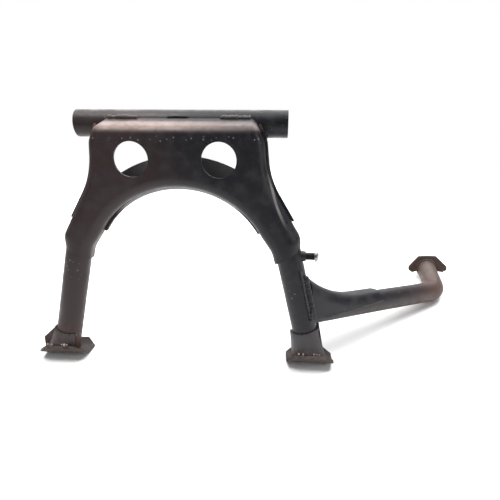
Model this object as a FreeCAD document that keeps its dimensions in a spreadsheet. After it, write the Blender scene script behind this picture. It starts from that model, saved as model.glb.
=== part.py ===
import FreeCAD, Part
import math
import os
import Sketcher

# Motorcycle centre stand, welded from tubes and pressings. Millimetres, Z up, X along the pivot.
# The origin is the middle of the pivot bore. The stand is drawn upright, with its front plate
# in the XZ plane, and each piece is then turned about the pivot by the lean at which it rests.

Vector = FreeCAD.Vector
DOWN = Vector(0, 0, -1)

SIZES = {
    # pose: the height of the pivot over the ground, and the lean of the plate away from the front
    "StandHeight": 266.0,
    "Lean": 5.0,
    # pivot tube
    "PivotOuter": 28.6,
    "PivotBore": 22.2,
    "PivotLength": 228.0,
    "BoreChamfer": 0.8,
    # leg tubes: their axes meet the height of the pivot at LegApart from the middle
    "LegOuter": 28.6,
    "LegWall": 2.6,
    "LegForward": 23.4,
    "LegApart": 85.7,
    "LegSplay": 13.5,
    "LegTopDrop": 98.0,
    "LegPlay": 0.3,
    # sheet of both pressings
    "SheetThick": 2.6,
    "BendRound": 11.0,
    "WrapRound": 15.5,
    "FaceForward": 40.7,
    "FrontFlangeEnd": 20.7,
    "SheetLap": 3.0,
    # outline of the pressings, seen from the front
    "CrownHalf": 78.0,
    "CrownRise": 12.0,
    "ShoulderHalf": 90.3,
    "ShoulderDrop": 17.0,
    "ShoulderRound": 16.0,
    "WaistHalf": 94.1,
    "WaistDrop": 56.0,
    "WaistRound": 90.0,
    "ElbowDrop": 118.0,
    "ElbowRound": 18.0,
    "OuterEndDrop": 129.0,
    "InnerEndDrop": 145.0,
    "EndSpare": 8.0,
    "EndTuck": 5.0,
    "TaperDrop": 134.0,
    "TaperRound": 30.0,
    "ArchEndDrop": 116.0,
    "ArchRound": 101.0,
    "ArchDrop": 165.0,
    # top flange, which slopes back and up onto the pivot tube
    "FlangeRise": 19.0,
    "FlangeMeet": 5.6,
    "FlangeShort": 4.0,
    "SideFlangeTop": 11.0,
    # lightening holes
    "HoleWide": 35.8,
    "HoleApart": 90.0,
    "HoleDrop": 35.0,
    # rear pressing
    "RearFlangeEnd": 24.6,
    "RearBandRound": 132.0,
    "RearArmInner": 79.0,
    "RearWindowDrop": 90.0,
    "RearEndOuter": 96.0,
    "RearEndInner": 117.0,
    # foot plates
    "FootWide": 54.0,
    "FootInset": 1.8,
    "FootRound": 31.0,
    "FootThick": 4.0,
    "FootFront": 66.0,
    "FootBack": 30.0,
    "FootClip": 10.0,
    "FootForward": 21.0,
    # sleeves and braces at the feet
    "SleeveThick": 3.0,
    "SleeveFlare": 5.0,
    "LeftSleeveTall": 27.0,
    "LeftSleeveStart": 225.0,
    "LeftSleeveTurn": 135.0,
    "RightSleeveTall": 38.0,
    "RightSleeveStart": 35.0,
    "RightSleeveTurn": 160.0,
    "WebThick": 5.0,
    "WebForward": 30.0,
    "WebTall": 34.0,
    "WebOut": 30.0,
    "WebTipTall": 20.0,
    "StrutWide": 13.0,
    "StrutThick": 5.0,
    "StrutForward": 6.5,
    "StrutOut": 12.0,
    "StrutTall": 52.0,
    "StrutLean": 11.0,
    # lever, given by the corner of its axis and the heading and length of its level tail
    "LeverOuter": 28.6,
    "LeverWall": 2.6,
    "LeverRootDrop": 208.0,
    "LeverReach": 349.0,
    "LeverBack": 136.0,
    "LeverRound": 45.0,
    "LeverTail": 87.0,
    "LeverTailTurn": 80.0,
    # saddle over the root of the lever
    "SaddleThick": 3.0,
    "SaddleLong": 124.0,
    "SaddleFlat": 84.0,
    "SaddleRise": 28.0,
    "SaddleSkirt": 5.0,
    "SaddleTip": 4.0,
    "SaddleRidge": 3.0,
    # lever pad
    "PadWide": 60.0,
    "PadCrown": 27.0,
    "PadTall": 27.0,
    "PadShoulder": 16.0,
    "PadRound": 48.0,
    "PadThick": 4.0,
    "PadClip": 6.0,
    "PadLift": 7.5,
    "PadRoll": 6.0,
    # spring pin, measured from the axis of the leg
    "PinDrop": 139.0,
    "PinShank": 8.0,
    "PinReach": 32.5,
    "PinHead": 12.0,
    "PinHeadThick": 4.0,
    "BossWide": 14.0,
    "BossTip": 11.0,
    "BossReach": 18.4,
    # weld beads
    "BeadRound": 3.0,
    "TopBeadStart": 34.0,
    "TopBeadLong": 38.0,
    "RearBeadInset": 10.3,
    "RearBeadLong": 12.0,
    "SeamTopDrop": 168.0,
    "SeamLong": 38.0,
}

doc = FreeCAD.newDocument("centre_stand")
sheet = doc.addObject("Spreadsheet::Sheet", "Sizes")
for row, (alias, value) in enumerate(SIZES.items(), start=1):
    sheet.set("A%d" % row, str(value))
    sheet.setAlias("A%d" % row, alias)
doc.recompute()

parts = []


def size(alias):
    """Read a driving size from the sheet."""
    return float(sheet.get(alias))


def bind(item, **cells):
    """Tie properties of an object to expressions on the sheet."""
    for name, expression in cells.items():
        item.setExpression(name, expression)


def keep(item, label):
    """Give a finished sub-part its name and put it on the list of parts."""
    item.Label = label
    parts.append(item)
    return item


def leaned(place=FreeCAD.Placement()):
    """Turn a placement of the upright stand about the pivot, by the lean."""
    turn = FreeCAD.Rotation(Vector(1, 0, 0), -size("Lean"))
    return FreeCAD.Placement(Vector(0, 0, 0), turn).multiply(place)


def frame(origin, x_axis, z_axis):
    """Placement with its origin at a point, X along one direction and Z near another."""
    x_dir = Vector(x_axis).normalize()
    y_dir = Vector(z_axis).cross(x_dir).normalize()
    z_dir = x_dir.cross(y_dir)
    return FreeCAD.Placement(Vector(origin), FreeCAD.Rotation(x_dir, y_dir, z_dir, "XZY"))


def plane_of(body, role):
    """Find one of a body's own origin planes."""
    return [item for item in body.Origin.OriginFeatures if item.Role == role][0]


def new_body(name, place):
    """Make a body at a placement in the upright stand."""
    body = doc.addObject("PartDesign::Body", name)
    body.Placement = leaned(place)
    return body


def sketch_on(body, name, role, offset=0.0):
    """Make a sketch on an origin plane of a body, moved along the plane's normal."""
    sketch = body.newObject("Sketcher::SketchObject", name)
    sketch.AttachmentSupport = [(plane_of(body, role), "")]
    sketch.MapMode = "FlatFace"
    sketch.AttachmentOffset = FreeCAD.Placement(Vector(0, 0, offset), FreeCAD.Rotation())
    return sketch


def add_circle(sketch, radius):
    """Add a circle about the sketch's origin, with its radius tied to an expression."""
    index = sketch.addGeometry(Part.Circle(Vector(0, 0, 0), Vector(0, 0, 1), 1.0), False)
    sketch.addConstraint(Sketcher.Constraint("Coincident", index, 3, -1, 1))
    place = sketch.addConstraint(Sketcher.Constraint("Radius", index, 1.0))
    sketch.setExpression("Constraints[%d]" % place, radius)


def add_polygon(sketch, corners):
    """Add a closed polygon whose corners are pairs of expressions."""
    points = [(evaluate(sketch, across), evaluate(sketch, up)) for across, up in corners]
    first = sketch.GeometryCount
    count = len(points)
    for index in range(count):
        start = Vector(*points[index], 0)
        end = Vector(*points[(index + 1) % count], 0)
        sketch.addGeometry(Part.LineSegment(start, end), False)
    for index in range(count):
        line = first + index
        following = first + (index + 1) % count
        sketch.addConstraint(Sketcher.Constraint("Coincident", line, 2, following, 1))
        for kind, value, expression in zip(("DistanceX", "DistanceY"), points[index], corners[index]):
            place = sketch.addConstraint(Sketcher.Constraint(kind, -1, 1, line, 1, value))
            sketch.setExpression("Constraints[%d]" % place, expression)


def evaluate(item, expression):
    """Work an expression out as a plain number."""
    value = item.evalExpression(expression)
    return float(getattr(value, "Value", value))


def edges_where(shape, test):
    """Numbers of the edges of a shape that pass a test."""
    return [number for number, edge in enumerate(shape.Edges, start=1) if test(edge)]


def edge_names(numbers):
    """Edge numbers as sub-element names."""
    return ["Edge%d" % number for number in numbers]


def primitive(kind, name, place, **cells):
    """Make a Part primitive with sizes tied to the sheet."""
    item = doc.addObject("Part::" + kind, name)
    bind(item, **cells)
    item.Placement = leaned(place)
    return item


def cut(name, base, *tools):
    """Take tools away from a base, one after the other."""
    result = base
    for number, tool in enumerate(tools, start=1):
        step = doc.addObject("Part::Cut", name if number == len(tools) else "%s_%d" % (name, number))
        step.Base = result
        step.Tool = tool
        step.Refine = True
        result = step
    doc.recompute()
    return result


# Places that several pieces share
splay = math.radians(size("LegSplay"))
lean = math.radians(size("Lean"))
leg_radius = size("LegOuter") / 2


def upright_height(y, height):
    """Z in the upright stand of a point at a given Y that rests at a height after the lean."""
    return (height + y * math.sin(lean)) / math.cos(lean)


def leg_point(side, drop):
    """Point of a leg's axis at a drop below the pivot."""
    return Vector(side * (size("LegApart") + drop * math.tan(splay)), -size("LegForward"), -drop)


def leg_frame(side, drop):
    """Frame on a leg's axis, with Z down the leg and X outwards."""
    along = Vector(side * math.sin(splay), 0, -math.cos(splay))
    outwards = Vector(side * math.cos(splay), 0, math.sin(splay))
    return frame(leg_point(side, drop), outwards, along)


def leg_core(side, name):
    """Solid cylinder of a leg's outside, from its upper end to below the ground."""
    return primitive("Cylinder", name, leg_frame(side, size("LegTopDrop")),
                     Radius="Sizes.LegOuter / 2", Height="Sizes.StandHeight")


LEFT, RIGHT = -1, 1
SIDES = (("left", LEFT), ("right", RIGHT))

# Pivot tube
body = new_body("pivot_tube", FreeCAD.Placement())
ring = sketch_on(body, "pivot_ring", "YZ_Plane")
add_circle(ring, "Sizes.PivotOuter / 2")
add_circle(ring, "Sizes.PivotBore / 2")
tube = body.newObject("PartDesign::Pad", "pivot_run")
tube.Profile = ring
tube.Midplane = True
bind(tube, Length="Sizes.PivotLength")
doc.recompute()
bore_edges = edges_where(tube.Shape, lambda edge: isinstance(edge.Curve, Part.Circle)
                         and edge.Curve.Radius < (size("PivotBore") + size("PivotOuter")) / 4)
mouths = body.newObject("PartDesign::Chamfer", "bore_mouths")
mouths.Base = (tube, edge_names(bore_edges))
bind(mouths, Size="Sizes.BoreChamfer")
doc.recompute()
pivot_tube = keep(body, "pivot_tube")
pivot_core = primitive("Cylinder", "pivot_core",
                       frame(Vector(-size("PivotLength") / 2, 0, 0), DOWN, Vector(1, 0, 0)),
                       Radius="Sizes.PivotOuter / 2", Height="Sizes.PivotLength")


# Outline of the pressings: half of it as corners, from the crown to the end of the arch
WRAP = "(Sizes.LegOuter / 2 + Sizes.SheetThick) / cos(Sizes.LegSplay)"
LEG_AT = "Sizes.LegApart + %s * tan(Sizes.LegSplay)"
HALF_OUTLINE = {
    "crown": ("Sizes.CrownHalf", "Sizes.CrownRise"),
    "shoulder": ("Sizes.ShoulderHalf", "-Sizes.ShoulderDrop"),
    "waist": ("Sizes.WaistHalf", "-Sizes.WaistDrop"),
    "elbow": (LEG_AT % "Sizes.ElbowDrop" + " + " + WRAP, "-Sizes.ElbowDrop"),
    "outer_end": (LEG_AT % "(Sizes.OuterEndDrop + Sizes.EndSpare)" + " + " + WRAP
                  + " - Sizes.EndTuck", "-Sizes.OuterEndDrop - Sizes.EndSpare"),
    "inner_end": (LEG_AT % "(Sizes.InnerEndDrop + Sizes.EndSpare)" + " - " + WRAP,
                  "-Sizes.InnerEndDrop - Sizes.EndSpare"),
    "taper": (LEG_AT % "Sizes.TaperDrop" + " - " + WRAP, "-Sizes.TaperDrop"),
    "arch_end": ("sqrt(Sizes.ArchRound ^ 2 - (Sizes.ArchDrop - Sizes.ArchEndDrop) ^ 2)",
                 "-Sizes.ArchEndDrop"),
}
CONVEX, CONCAVE = ("shoulder", "elbow"), ("waist", "taper")

outline = doc.addObject("Sketcher::SketchObject", "pressing_outline")
half = {name: tuple(evaluate(outline, cell) for cell in cells)
        for name, cells in HALF_OUTLINE.items()}
loop = list(half.values()) + [(-across, up) for across, up in reversed(half.values())]
loop_cells = list(HALF_OUTLINE.values())
loop_cells += [("-(%s)" % across, up) for across, up in reversed(HALF_OUTLINE.values())]
arch_edge = len(half) - 1
for index, (across, up) in enumerate(loop):
    if index == arch_edge:
        circle = Part.Circle(Vector(0, -size("ArchDrop"), 0), Vector(0, 0, 1), size("ArchRound"))
        first_angle = math.atan2(up + size("ArchDrop"), across)
        outline.addGeometry(Part.ArcOfCircle(circle, first_angle, math.pi - first_angle), False)
    else:
        end = Vector(*loop[(index + 1) % len(loop)], 0)
        outline.addGeometry(Part.LineSegment(Vector(across, up, 0), end), False)
for index in range(len(loop)):
    following = (index + 1) % len(loop)
    outline.addConstraint(Sketcher.Constraint("Coincident", index, 2, following, 1))
    for kind, value, expression in zip(("DistanceX", "DistanceY"), loop[index], loop_cells[index]):
        place = outline.addConstraint(Sketcher.Constraint(kind, -1, 1, index, 1, value))
        outline.setExpression("Constraints[%d]" % place, expression)
place = outline.addConstraint(Sketcher.Constraint("Radius", arch_edge, size("ArchRound")))
outline.setExpression("Constraints[%d]" % place, "Sizes.ArchRound")
outline.Placement = leaned(FreeCAD.Placement(Vector(0, -size("FaceForward"), 0),
                                             FreeCAD.Rotation(Vector(1, 0, 0), 90)))
doc.recompute()


def corner_rounds(form, inset):
    """Edges of a form along its depth that get the outline's rounds, with their radii."""
    to_upright = leaned().inverse()
    found = []
    for name in CONVEX + CONCAVE:
        # an inset shrinks the convex rounds and grows the concave ones
        radius = size(name.capitalize() + "Round") + (inset if name in CONCAVE else -inset)
        for side in (LEFT, RIGHT):
            corner = Vector(side * half[name][0], 0, half[name][1])
            best = None
            for number, edge in enumerate(form.Shape.Edges, start=1):
                ends = [to_upright.multVec(vertex.Point) for vertex in edge.Vertexes]
                if len(ends) < 2 or abs(ends[0].y - ends[1].y) < 1.0:
                    continue
                miss = max(math.hypot(end.x - corner.x, end.z - corner.z) for end in ends)
                if best is None or miss < best[0]:
                    best = (miss, number)
            found.append((best[1], radius, radius))
    return found


def is_lower_end(points, inset):
    """Tell whether points lie on the open lower end of a leg's channel."""
    first, last = half["outer_end"], half["inner_end"]
    run = Vector(last[0] - first[0], last[1] - first[1], 0)
    for point in points:
        offset = Vector(abs(point.x) - first[0], point.z - first[1], 0)
        if offset.cross(run).Length / run.Length > abs(inset) + 0.2:
            return False
    return True


def pressing_form(name, inset, face, depth, rim_at_front):
    """Solid of a pressing's outside or hollow, with its corners and one rim rounded.

    inset is how far it lies inside the outline, face the Y of its front and depth its reach.
    """
    grown = doc.addObject("Part::Offset2D", name + "_outline")
    grown.Source = outline
    grown.Join = 1 if inset < 0 else 2
    grown.Value = -inset
    blank = doc.addObject("Part::Extrusion", name + "_blank")
    blank.Base = grown if abs(inset) > 1e-6 else outline
    blank.DirMode = "Custom"
    blank.Dir = leaned().Rotation.multVec(Vector(0, 1, 0))
    blank.LengthFwd = size("FaceForward") + face + depth
    blank.LengthRev = -(size("FaceForward") + face)
    blank.Solid = True
    doc.recompute()
    if abs(inset) <= 1e-6:
        doc.removeObject(grown.Name)
    if not rim_at_front:
        return round_form(name, blank, inset, face + depth, False)
    slope = doc.addObject("Part::Box", name + "_over_flange")
    slope.Length = 4 * size("ShoulderHalf")
    slope.Width = 4 * size("FaceForward")
    slope.Height = 2 * size("FaceForward")
    rise = math.radians(size("FlangeRise"))
    meet = Vector(0, -math.sqrt((size("PivotOuter") / 2) ** 2 - size("FlangeMeet") ** 2),
                  size("FlangeMeet"))
    normal = Vector(0, -math.sin(rise), math.cos(rise))
    start = meet - normal * inset - Vector(0, math.cos(rise), math.sin(rise)) * slope.Width.Value / 2
    slope.Placement = leaned(FreeCAD.Placement(
        start - Vector(2 * size("ShoulderHalf"), 0, 0),
        FreeCAD.Rotation(Vector(1, 0, 0), size("FlangeRise"))))
    topped = cut(name + "_topped", blank, slope)
    return round_form(name, topped, inset, face, True)


def rim_round(point):
    """Radius of the bend at a point of the rim, which grows down the outer edge to hug the leg."""
    if abs(point.x) < leg_point(RIGHT, -point.z).x:
        return size("BendRound")
    part = (-point.z + half["waist"][1]) / (half["waist"][1] - half["elbow"][1])
    return size("BendRound") + (size("WrapRound") - size("BendRound")) * min(max(part, 0.0), 1.0)


def round_form(name, blank, inset, rim_y, rim_at_front):
    """Round a blank's corners, and then the rim where its side walls meet its plate."""
    shaped = doc.addObject("Part::Fillet", name + "_shaped")
    shaped.Base = blank
    shaped.Edges = corner_rounds(blank, inset)
    doc.recompute()
    to_upright = leaned().inverse()
    rim = []
    for number, edge in enumerate(shaped.Shape.Edges, start=1):
        points = [to_upright.multVec(vertex.Point) for vertex in edge.Vertexes]
        on_rim = all(abs(point.y - rim_y) < 1e-4 for point in points)
        middle = to_upright.multVec(edge.CenterOfMass)
        beside_flange = (not on_rim and middle.z > -size("ShoulderDrop") * 0.7
                         and abs(points[0].y - points[-1].y) > 2 * size("SheetThick"))
        if (on_rim and not is_lower_end(points, inset)) or (rim_at_front and beside_flange):
            ends = [to_upright.multVec(edge.valueAt(end))
                    for end in (edge.FirstParameter, edge.LastParameter)]
            radii = [rim_round(end) if rim_at_front else size("BendRound") for end in ends]
            rim.append((number, radii[0] - inset, radii[1] - inset))
    rounded = doc.addObject("Part::Fillet", name)
    rounded.Base = shaped
    rounded.Edges = rim
    doc.recompute()
    return rounded


def block_behind(name, y, top, bottom):
    """Box over the whole width, behind a plane Y and between two heights."""
    item = doc.addObject("Part::Box", name)
    item.Length = 4 * size("ShoulderHalf")
    item.Width = 4 * size("FaceForward")
    item.Height = top - bottom
    item.Placement = leaned(FreeCAD.Placement(Vector(-2 * size("ShoulderHalf"), y, bottom),
                                              FreeCAD.Rotation()))
    return item


def below_line(name, side, first, last):
    """Box below a line across a leg, given by two points of the right leg as (x, z)."""
    start = Vector(side * first[0], 0, first[1])
    end = Vector(side * last[0], 0, last[1])
    along = (start - end).normalize() if side > 0 else (end - start).normalize()
    reach = 1.5 * size("ArchRound")
    middle = (start + end) * 0.5
    place = frame(middle, along, Vector(-along.z, 0, along.x))
    down = place.Rotation.multVec(Vector(0, 0, 1))
    item = doc.addObject("Part::Box", name)
    item.Length = size("ArchRound") * 0.8
    item.Width = 4 * size("FaceForward")
    item.Height = reach
    drop = down * (-reach if down.z > 0 else 0.0)
    corner = place.Rotation.multVec(Vector(-item.Length.Value / 2, -item.Width.Value / 2, 0))
    place.Base = middle + drop + corner
    item.Placement = leaned(place)
    return item


def outside_line(name, side, first, last):
    """Box on the outer side of a line down the outer edge, ending at its lower point."""
    start = Vector(side * first[0], 0, first[1])
    end = Vector(side * last[0], 0, last[1])
    upwards = (start - end).normalize()
    place = frame(end, upwards, Vector(0, -side, 0))
    item = doc.addObject("Part::Box", name)
    item.Length = (start - end).Length
    item.Width = size("ShoulderHalf")
    item.Height = 4 * size("FaceForward")
    out = place.Rotation.multVec(Vector(0, 1, 0))
    drop = Vector(0, 0, 0) if out.x * side > 0 else out * -item.Width.Value
    centred = place.Rotation.multVec(Vector(0, 0, -item.Height.Value / 2))
    place.Base = end + drop + centred
    item.Placement = leaned(place)
    return item


# Solid legs, slanted at the top along the inside of the sheet
slants, cores = {}, {}
for name, side in SIDES:
    upper, lower = [(half[corner][0] - size("SheetThick") - size("LegPlay"), half[corner][1])
                    for corner in ("waist", "elbow")]
    slants[name] = outside_line(name + "_slant", side, upper, lower)
    cores[name] = cut(name + "_core", leg_core(side, name + "_leg_core"), slants[name])

# Front pressing
PAST = 8.0  # how far a hollow runs past the sheet that it opens
sheet_thick = size("SheetThick")
above_all = 2 * size("PivotOuter")
front_face = -size("FaceForward")
front_outside = pressing_form("front_outside", 0.0, front_face, -front_face + PAST, True)
front_hollow = pressing_form("front_hollow", sheet_thick, front_face + sheet_thick,
                             -front_face + 2 * PAST, True)
behind_flange = block_behind("behind_front_flange", -size("FrontFlangeEnd"),
                             -size("SideFlangeTop"), -2 * size("StandHeight"))
behind_crown = block_behind("behind_crown", -size("FlangeShort"), above_all, -above_all)
outer_end, inner_end = [(half[corner][0], half[corner][1] + size("EndSpare"))
                        for corner in ("outer_end", "inner_end")]
front_ends = [below_line(name + "_front_end", side, outer_end, inner_end) for name, side in SIDES]
holes = []
for name, side in SIDES:
    centre = Vector(side * size("HoleApart") / 2, -2 * size("FaceForward"), -size("HoleDrop"))
    holes.append(primitive("Cylinder", name + "_hole", frame(centre, Vector(1, 0, 0), Vector(0, 1, 0)),
                           Radius="Sizes.HoleWide / 2", Height="Sizes.FaceForward * 1.5"))
front_pressing = keep(cut("front_sheet", front_outside, front_hollow, behind_flange, behind_crown,
                          pivot_core, *holes, *cores.values(), *front_ends),
                      "front_pressing")


# Rear pressing, which closes the back and laps over the front one's flanges
rear_back = -size("LegForward") + leg_radius + sheet_thick
rear_front = -size("RearFlangeEnd")
lap = size("SheetLap")
rear_outside = pressing_form("rear_outside", -lap, rear_front - PAST,
                             rear_back - rear_front + PAST, False)
rear_hollow = pressing_form("rear_hollow", sheet_thick - lap, rear_front - 2 * PAST,
                            rear_back - sheet_thick - rear_front + 2 * PAST, False)
before_flange = block_behind("before_rear_flange", rear_front - 4 * size("FaceForward"),
                             above_all, -2 * size("StandHeight"))
above_pivot = block_behind("above_pivot", -2 * size("FaceForward"), above_all, 0.0)
rear_ends = [below_line(name + "_rear_end", side, (half["elbow"][0], -size("RearEndOuter")),
                        (size("RearArmInner"), -size("RearEndInner"))) for name, side in SIDES]
window_corner = Vector(-size("RearArmInner"), rear_back - leg_radius, -size("RearWindowDrop"))
window_block = primitive("Box", "window_block",
                         FreeCAD.Placement(window_corner, FreeCAD.Rotation()),
                         Length="2 * Sizes.RearArmInner", Width="Sizes.LegOuter",
                         Height="Sizes.RearWindowDrop")
window_arch = primitive("Cylinder", "window_arch",
                        frame(Vector(0, rear_back - size("LegOuter"), -size("ArchDrop")),
                              Vector(1, 0, 0), Vector(0, 1, 0)),
                        Radius="Sizes.RearBandRound", Height="2 * Sizes.LegOuter")
window = cut("rear_window", window_block, window_arch)
rear_pressing = keep(cut("rear_sheet", rear_outside, rear_hollow, before_flange, above_pivot,
                         pivot_core, window, *cores.values(), *rear_ends, front_pressing),
                     "rear_pressing")

# Legs and feet
foot_inner = size("FootRound") - size("FootThick")


def foot_centre(side):
    """Middle of a foot's curve, under the end of the leg's axis."""
    y = -size("FootForward")
    z = upright_height(y, size("FootRound") - size("StandHeight"))
    x = leg_point(side, size("StandHeight") - size("FootThick")).x - side * size("FootInset")
    return Vector(x, y, z)


def build_foot(name, side):
    """Curved foot plate, swept about a level axis, with its four corners clipped."""
    level = FreeCAD.Rotation(Vector(1, 0, 0), size("Lean"))
    body = new_body(name + "_foot", FreeCAD.Placement(foot_centre(side), level))
    section = sketch_on(body, name + "_foot_section", "XZ_Plane")
    add_polygon(section, [("-Sizes.FootWide / 2", "-Sizes.FootRound"),
                          ("Sizes.FootWide / 2", "-Sizes.FootRound"),
                          ("Sizes.FootWide / 2", "Sizes.FootThick - Sizes.FootRound"),
                          ("-Sizes.FootWide / 2", "Sizes.FootThick - Sizes.FootRound")])
    front = body.newObject("PartDesign::Revolution", name + "_foot_front")
    front.Profile = section
    front.ReferenceAxis = (section, ["H_Axis"])
    front.Reversed = True
    bind(front, Angle="Sizes.FootFront")
    back = body.newObject("PartDesign::Revolution", name + "_foot_back")
    back.Profile = section
    back.ReferenceAxis = (section, ["H_Axis"])
    bind(back, Angle="Sizes.FootBack")
    doc.recompute()
    corners = edges_where(back.Shape, lambda edge: isinstance(edge.Curve, Part.Line)
                          and abs(edge.Length - size("FootThick")) < 0.01)
    clipped = body.newObject("PartDesign::Chamfer", name + "_foot_corners")
    clipped.Base = (back, edge_names(corners))
    bind(clipped, Size="Sizes.FootClip")
    doc.recompute()
    return keep(body, name + "_foot_plate")


def build_mould(name, side):
    """Everything below the upper surface of a foot plate."""
    centre = foot_centre(side)
    level = FreeCAD.Rotation(Vector(1, 0, 0), size("Lean"))
    block = doc.addObject("Part::Box", name + "_mould_block")
    bind(block, Length="4 * Sizes.FootWide", Width="4 * Sizes.FootRound",
         Height="3 * Sizes.FootRound")
    doc.recompute()
    corner = Vector(-block.Length.Value / 2, -block.Width.Value / 2, -block.Height.Value)
    block.Placement = leaned(FreeCAD.Placement(centre + level.multVec(corner), level))
    curve = primitive("Cylinder", name + "_mould_curve",
                      frame(centre - Vector(3 * size("FootWide"), 0, 0), DOWN, Vector(1, 0, 0)),
                      Radius="Sizes.FootRound - Sizes.FootThick", Height="6 * Sizes.FootWide")
    return cut(name + "_mould", block, curve)


def build_leg(name, side, mould):
    """Leg tube, slanted at the top to fit under the sheet and cut to sit on its foot plate."""
    body = new_body(name + "_leg", leg_frame(side, size("LegTopDrop")))
    ring = sketch_on(body, name + "_leg_ring", "XY_Plane")
    add_circle(ring, "Sizes.LegOuter / 2")
    add_circle(ring, "Sizes.LegOuter / 2 - Sizes.LegWall")
    run = body.newObject("PartDesign::Pad", name + "_leg_run")
    run.Profile = ring
    bind(run, Length="(Sizes.StandHeight - Sizes.LegTopDrop + Sizes.FootRound)"
                     " / cos(Sizes.LegSplay)")
    doc.recompute()
    return keep(cut(name + "_leg_cut", body, slants[name], mould), name + "_leg_tube")


def build_sleeve(name, side, mould):
    """Flared sleeve round the lower end of a leg, over part of a turn from its outer side."""
    alias = "%sSleeve" % name.capitalize()
    bottom = foot_inner - foot_centre(side).z
    place = leg_frame(side, bottom - size(alias + "Tall") * math.cos(splay))
    start = FreeCAD.Rotation(Vector(0, 0, 1), size(alias + "Start"))
    place = place.multiply(FreeCAD.Placement(Vector(0, 0, 0), start))
    outside = primitive("Cone", name + "_sleeve_outside", place,
                        Radius1="Sizes.LegOuter / 2 + Sizes.SleeveThick",
                        Radius2="Sizes.LegOuter / 2 + Sizes.SleeveThick + Sizes.SleeveFlare",
                        Height="Sizes.%sTall" % alias, Angle="Sizes.%sTurn" % alias)
    inside = primitive("Cone", name + "_sleeve_inside", place,
                       Radius1="Sizes.LegOuter / 2", Height="Sizes.%sTall" % alias,
                       Radius2="Sizes.LegOuter / 2 + Sizes.SleeveFlare")
    keep(cut(name + "_sleeve_cut", outside, inside, cores[name], mould), name + "_foot_sleeve")
    return outside


moulds, flares = {}, {}
for name, side in SIDES:
    build_foot(name, side)
    moulds[name] = build_mould(name, side)
    build_leg(name, side, moulds[name])
    flares[name] = build_sleeve(name, side, moulds[name])

# Web on the outer side of the left foot
web = new_body("web", FreeCAD.Placement(Vector(0, -size("WebForward"), 0), FreeCAD.Rotation()))
web_sketch = sketch_on(web, "web_outline", "XZ_Plane")
WEB_LEG = LEG_AT % "(Sizes.StandHeight - Sizes.WebTall)"
add_polygon(web_sketch, [
    ("-(%s)" % WEB_LEG, "Sizes.WebTall - Sizes.StandHeight + Sizes.WebThick"),
    ("-(%s) - Sizes.LegOuter / 2" % WEB_LEG, "Sizes.WebTall - Sizes.StandHeight"),
    ("-(%s) - Sizes.WebOut" % WEB_LEG, "Sizes.WebTipTall - Sizes.StandHeight"),
    ("-(%s) - Sizes.WebOut" % WEB_LEG, "-Sizes.StandHeight"),
    ("-(%s)" % WEB_LEG, "-Sizes.StandHeight"),
])
web_run = web.newObject("PartDesign::Pad", "web_run")
web_run.Profile = web_sketch
web_run.Midplane = True
bind(web_run, Length="Sizes.WebThick")
doc.recompute()
keep(cut("web_cut", web, cores["left"], flares["left"], moulds["left"]), "left_foot_web")

# Lever: its axis runs from the right leg's axis to a corner and on along a level tail
CORNER_Z = "(Sizes.LeverBack * sin(Sizes.Lean) + Sizes.LeverOuter / 2 - Sizes.StandHeight)" \
           " / cos(Sizes.Lean)"
RUN_X = "(Sizes.LeverReach - Sizes.LegApart - Sizes.LeverRootDrop * tan(Sizes.LegSplay))"
RUN_Y = "(Sizes.LeverBack + Sizes.LegForward)"
RUN_Z = "(%s + Sizes.LeverRootDrop)" % CORNER_Z
RUN = "sqrt(%s ^ 2 + %s ^ 2 + %s ^ 2)" % (RUN_X, RUN_Y, RUN_Z)
TURN = ("acos((%s * cos(Sizes.LeverTailTurn) + %s * sin(Sizes.LeverTailTurn) * cos(Sizes.Lean)"
        " + %s * sin(Sizes.LeverTailTurn) * sin(Sizes.Lean)) / %s)" % (RUN_X, RUN_Y, RUN_Z, RUN))
lever_root = leg_point(RIGHT, size("LeverRootDrop"))
lever_corner = Vector(size("LeverReach"), size("LeverBack"), evaluate(sheet, CORNER_Z))
run_dir = (lever_corner - lever_root).normalize()
turn_out = math.radians(size("LeverTailTurn"))
to_level = FreeCAD.Rotation(Vector(1, 0, 0), size("Lean"))
tail_dir = to_level.multVec(Vector(math.cos(turn_out), math.sin(turn_out), 0))
lever_frame = frame(lever_root, run_dir, run_dir.cross(tail_dir))
lever_end = lever_corner + tail_dir * size("LeverTail")


def build_lever(name, radius):
    """Solid along the lever's axis: its run, its bend and its tail, past the pad."""
    cut_back_cell = "Sizes.LeverRound * tan(%s / 2)" % TURN
    run, cut_back = evaluate(sheet, RUN), evaluate(sheet, cut_back_cell)
    turn = evaluate(sheet, TURN)
    tail = Vector(math.cos(math.radians(turn)), math.sin(math.radians(turn)), 0)
    bend_centre = Vector(run - cut_back, size("LeverRound"), 0)
    places = [frame(Vector(0, 0, 0), Vector(0, 0, 1), Vector(1, 0, 0)),
              FreeCAD.Placement(bend_centre, FreeCAD.Rotation(Vector(0, 0, 1), -90)),
              frame(Vector(run, 0, 0) + tail * cut_back, Vector(0, 0, 1), tail)]
    places = [lever_frame.multiply(place) for place in places]
    lever = doc.addObject("Part::MultiFuse", name)
    lever.Shapes = [
        primitive("Cylinder", name + "_run", places[0], Radius=radius,
                  Height="%s - %s" % (RUN, cut_back_cell)),
        primitive("Torus", name + "_bend", places[1], Radius1="Sizes.LeverRound", Radius2=radius,
                  Angle3=TURN),
        primitive("Cylinder", name + "_tail", places[2], Radius=radius,
                  Height="Sizes.LeverTail + Sizes.LeverOuter / 2 - %s" % cut_back_cell)]
    lever.Refine = True
    doc.recompute()
    return lever


lever_core = build_lever("lever_core", "Sizes.LeverOuter / 2")
lever_bore = build_lever("lever_bore", "Sizes.LeverOuter / 2 - Sizes.LeverWall")

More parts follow.
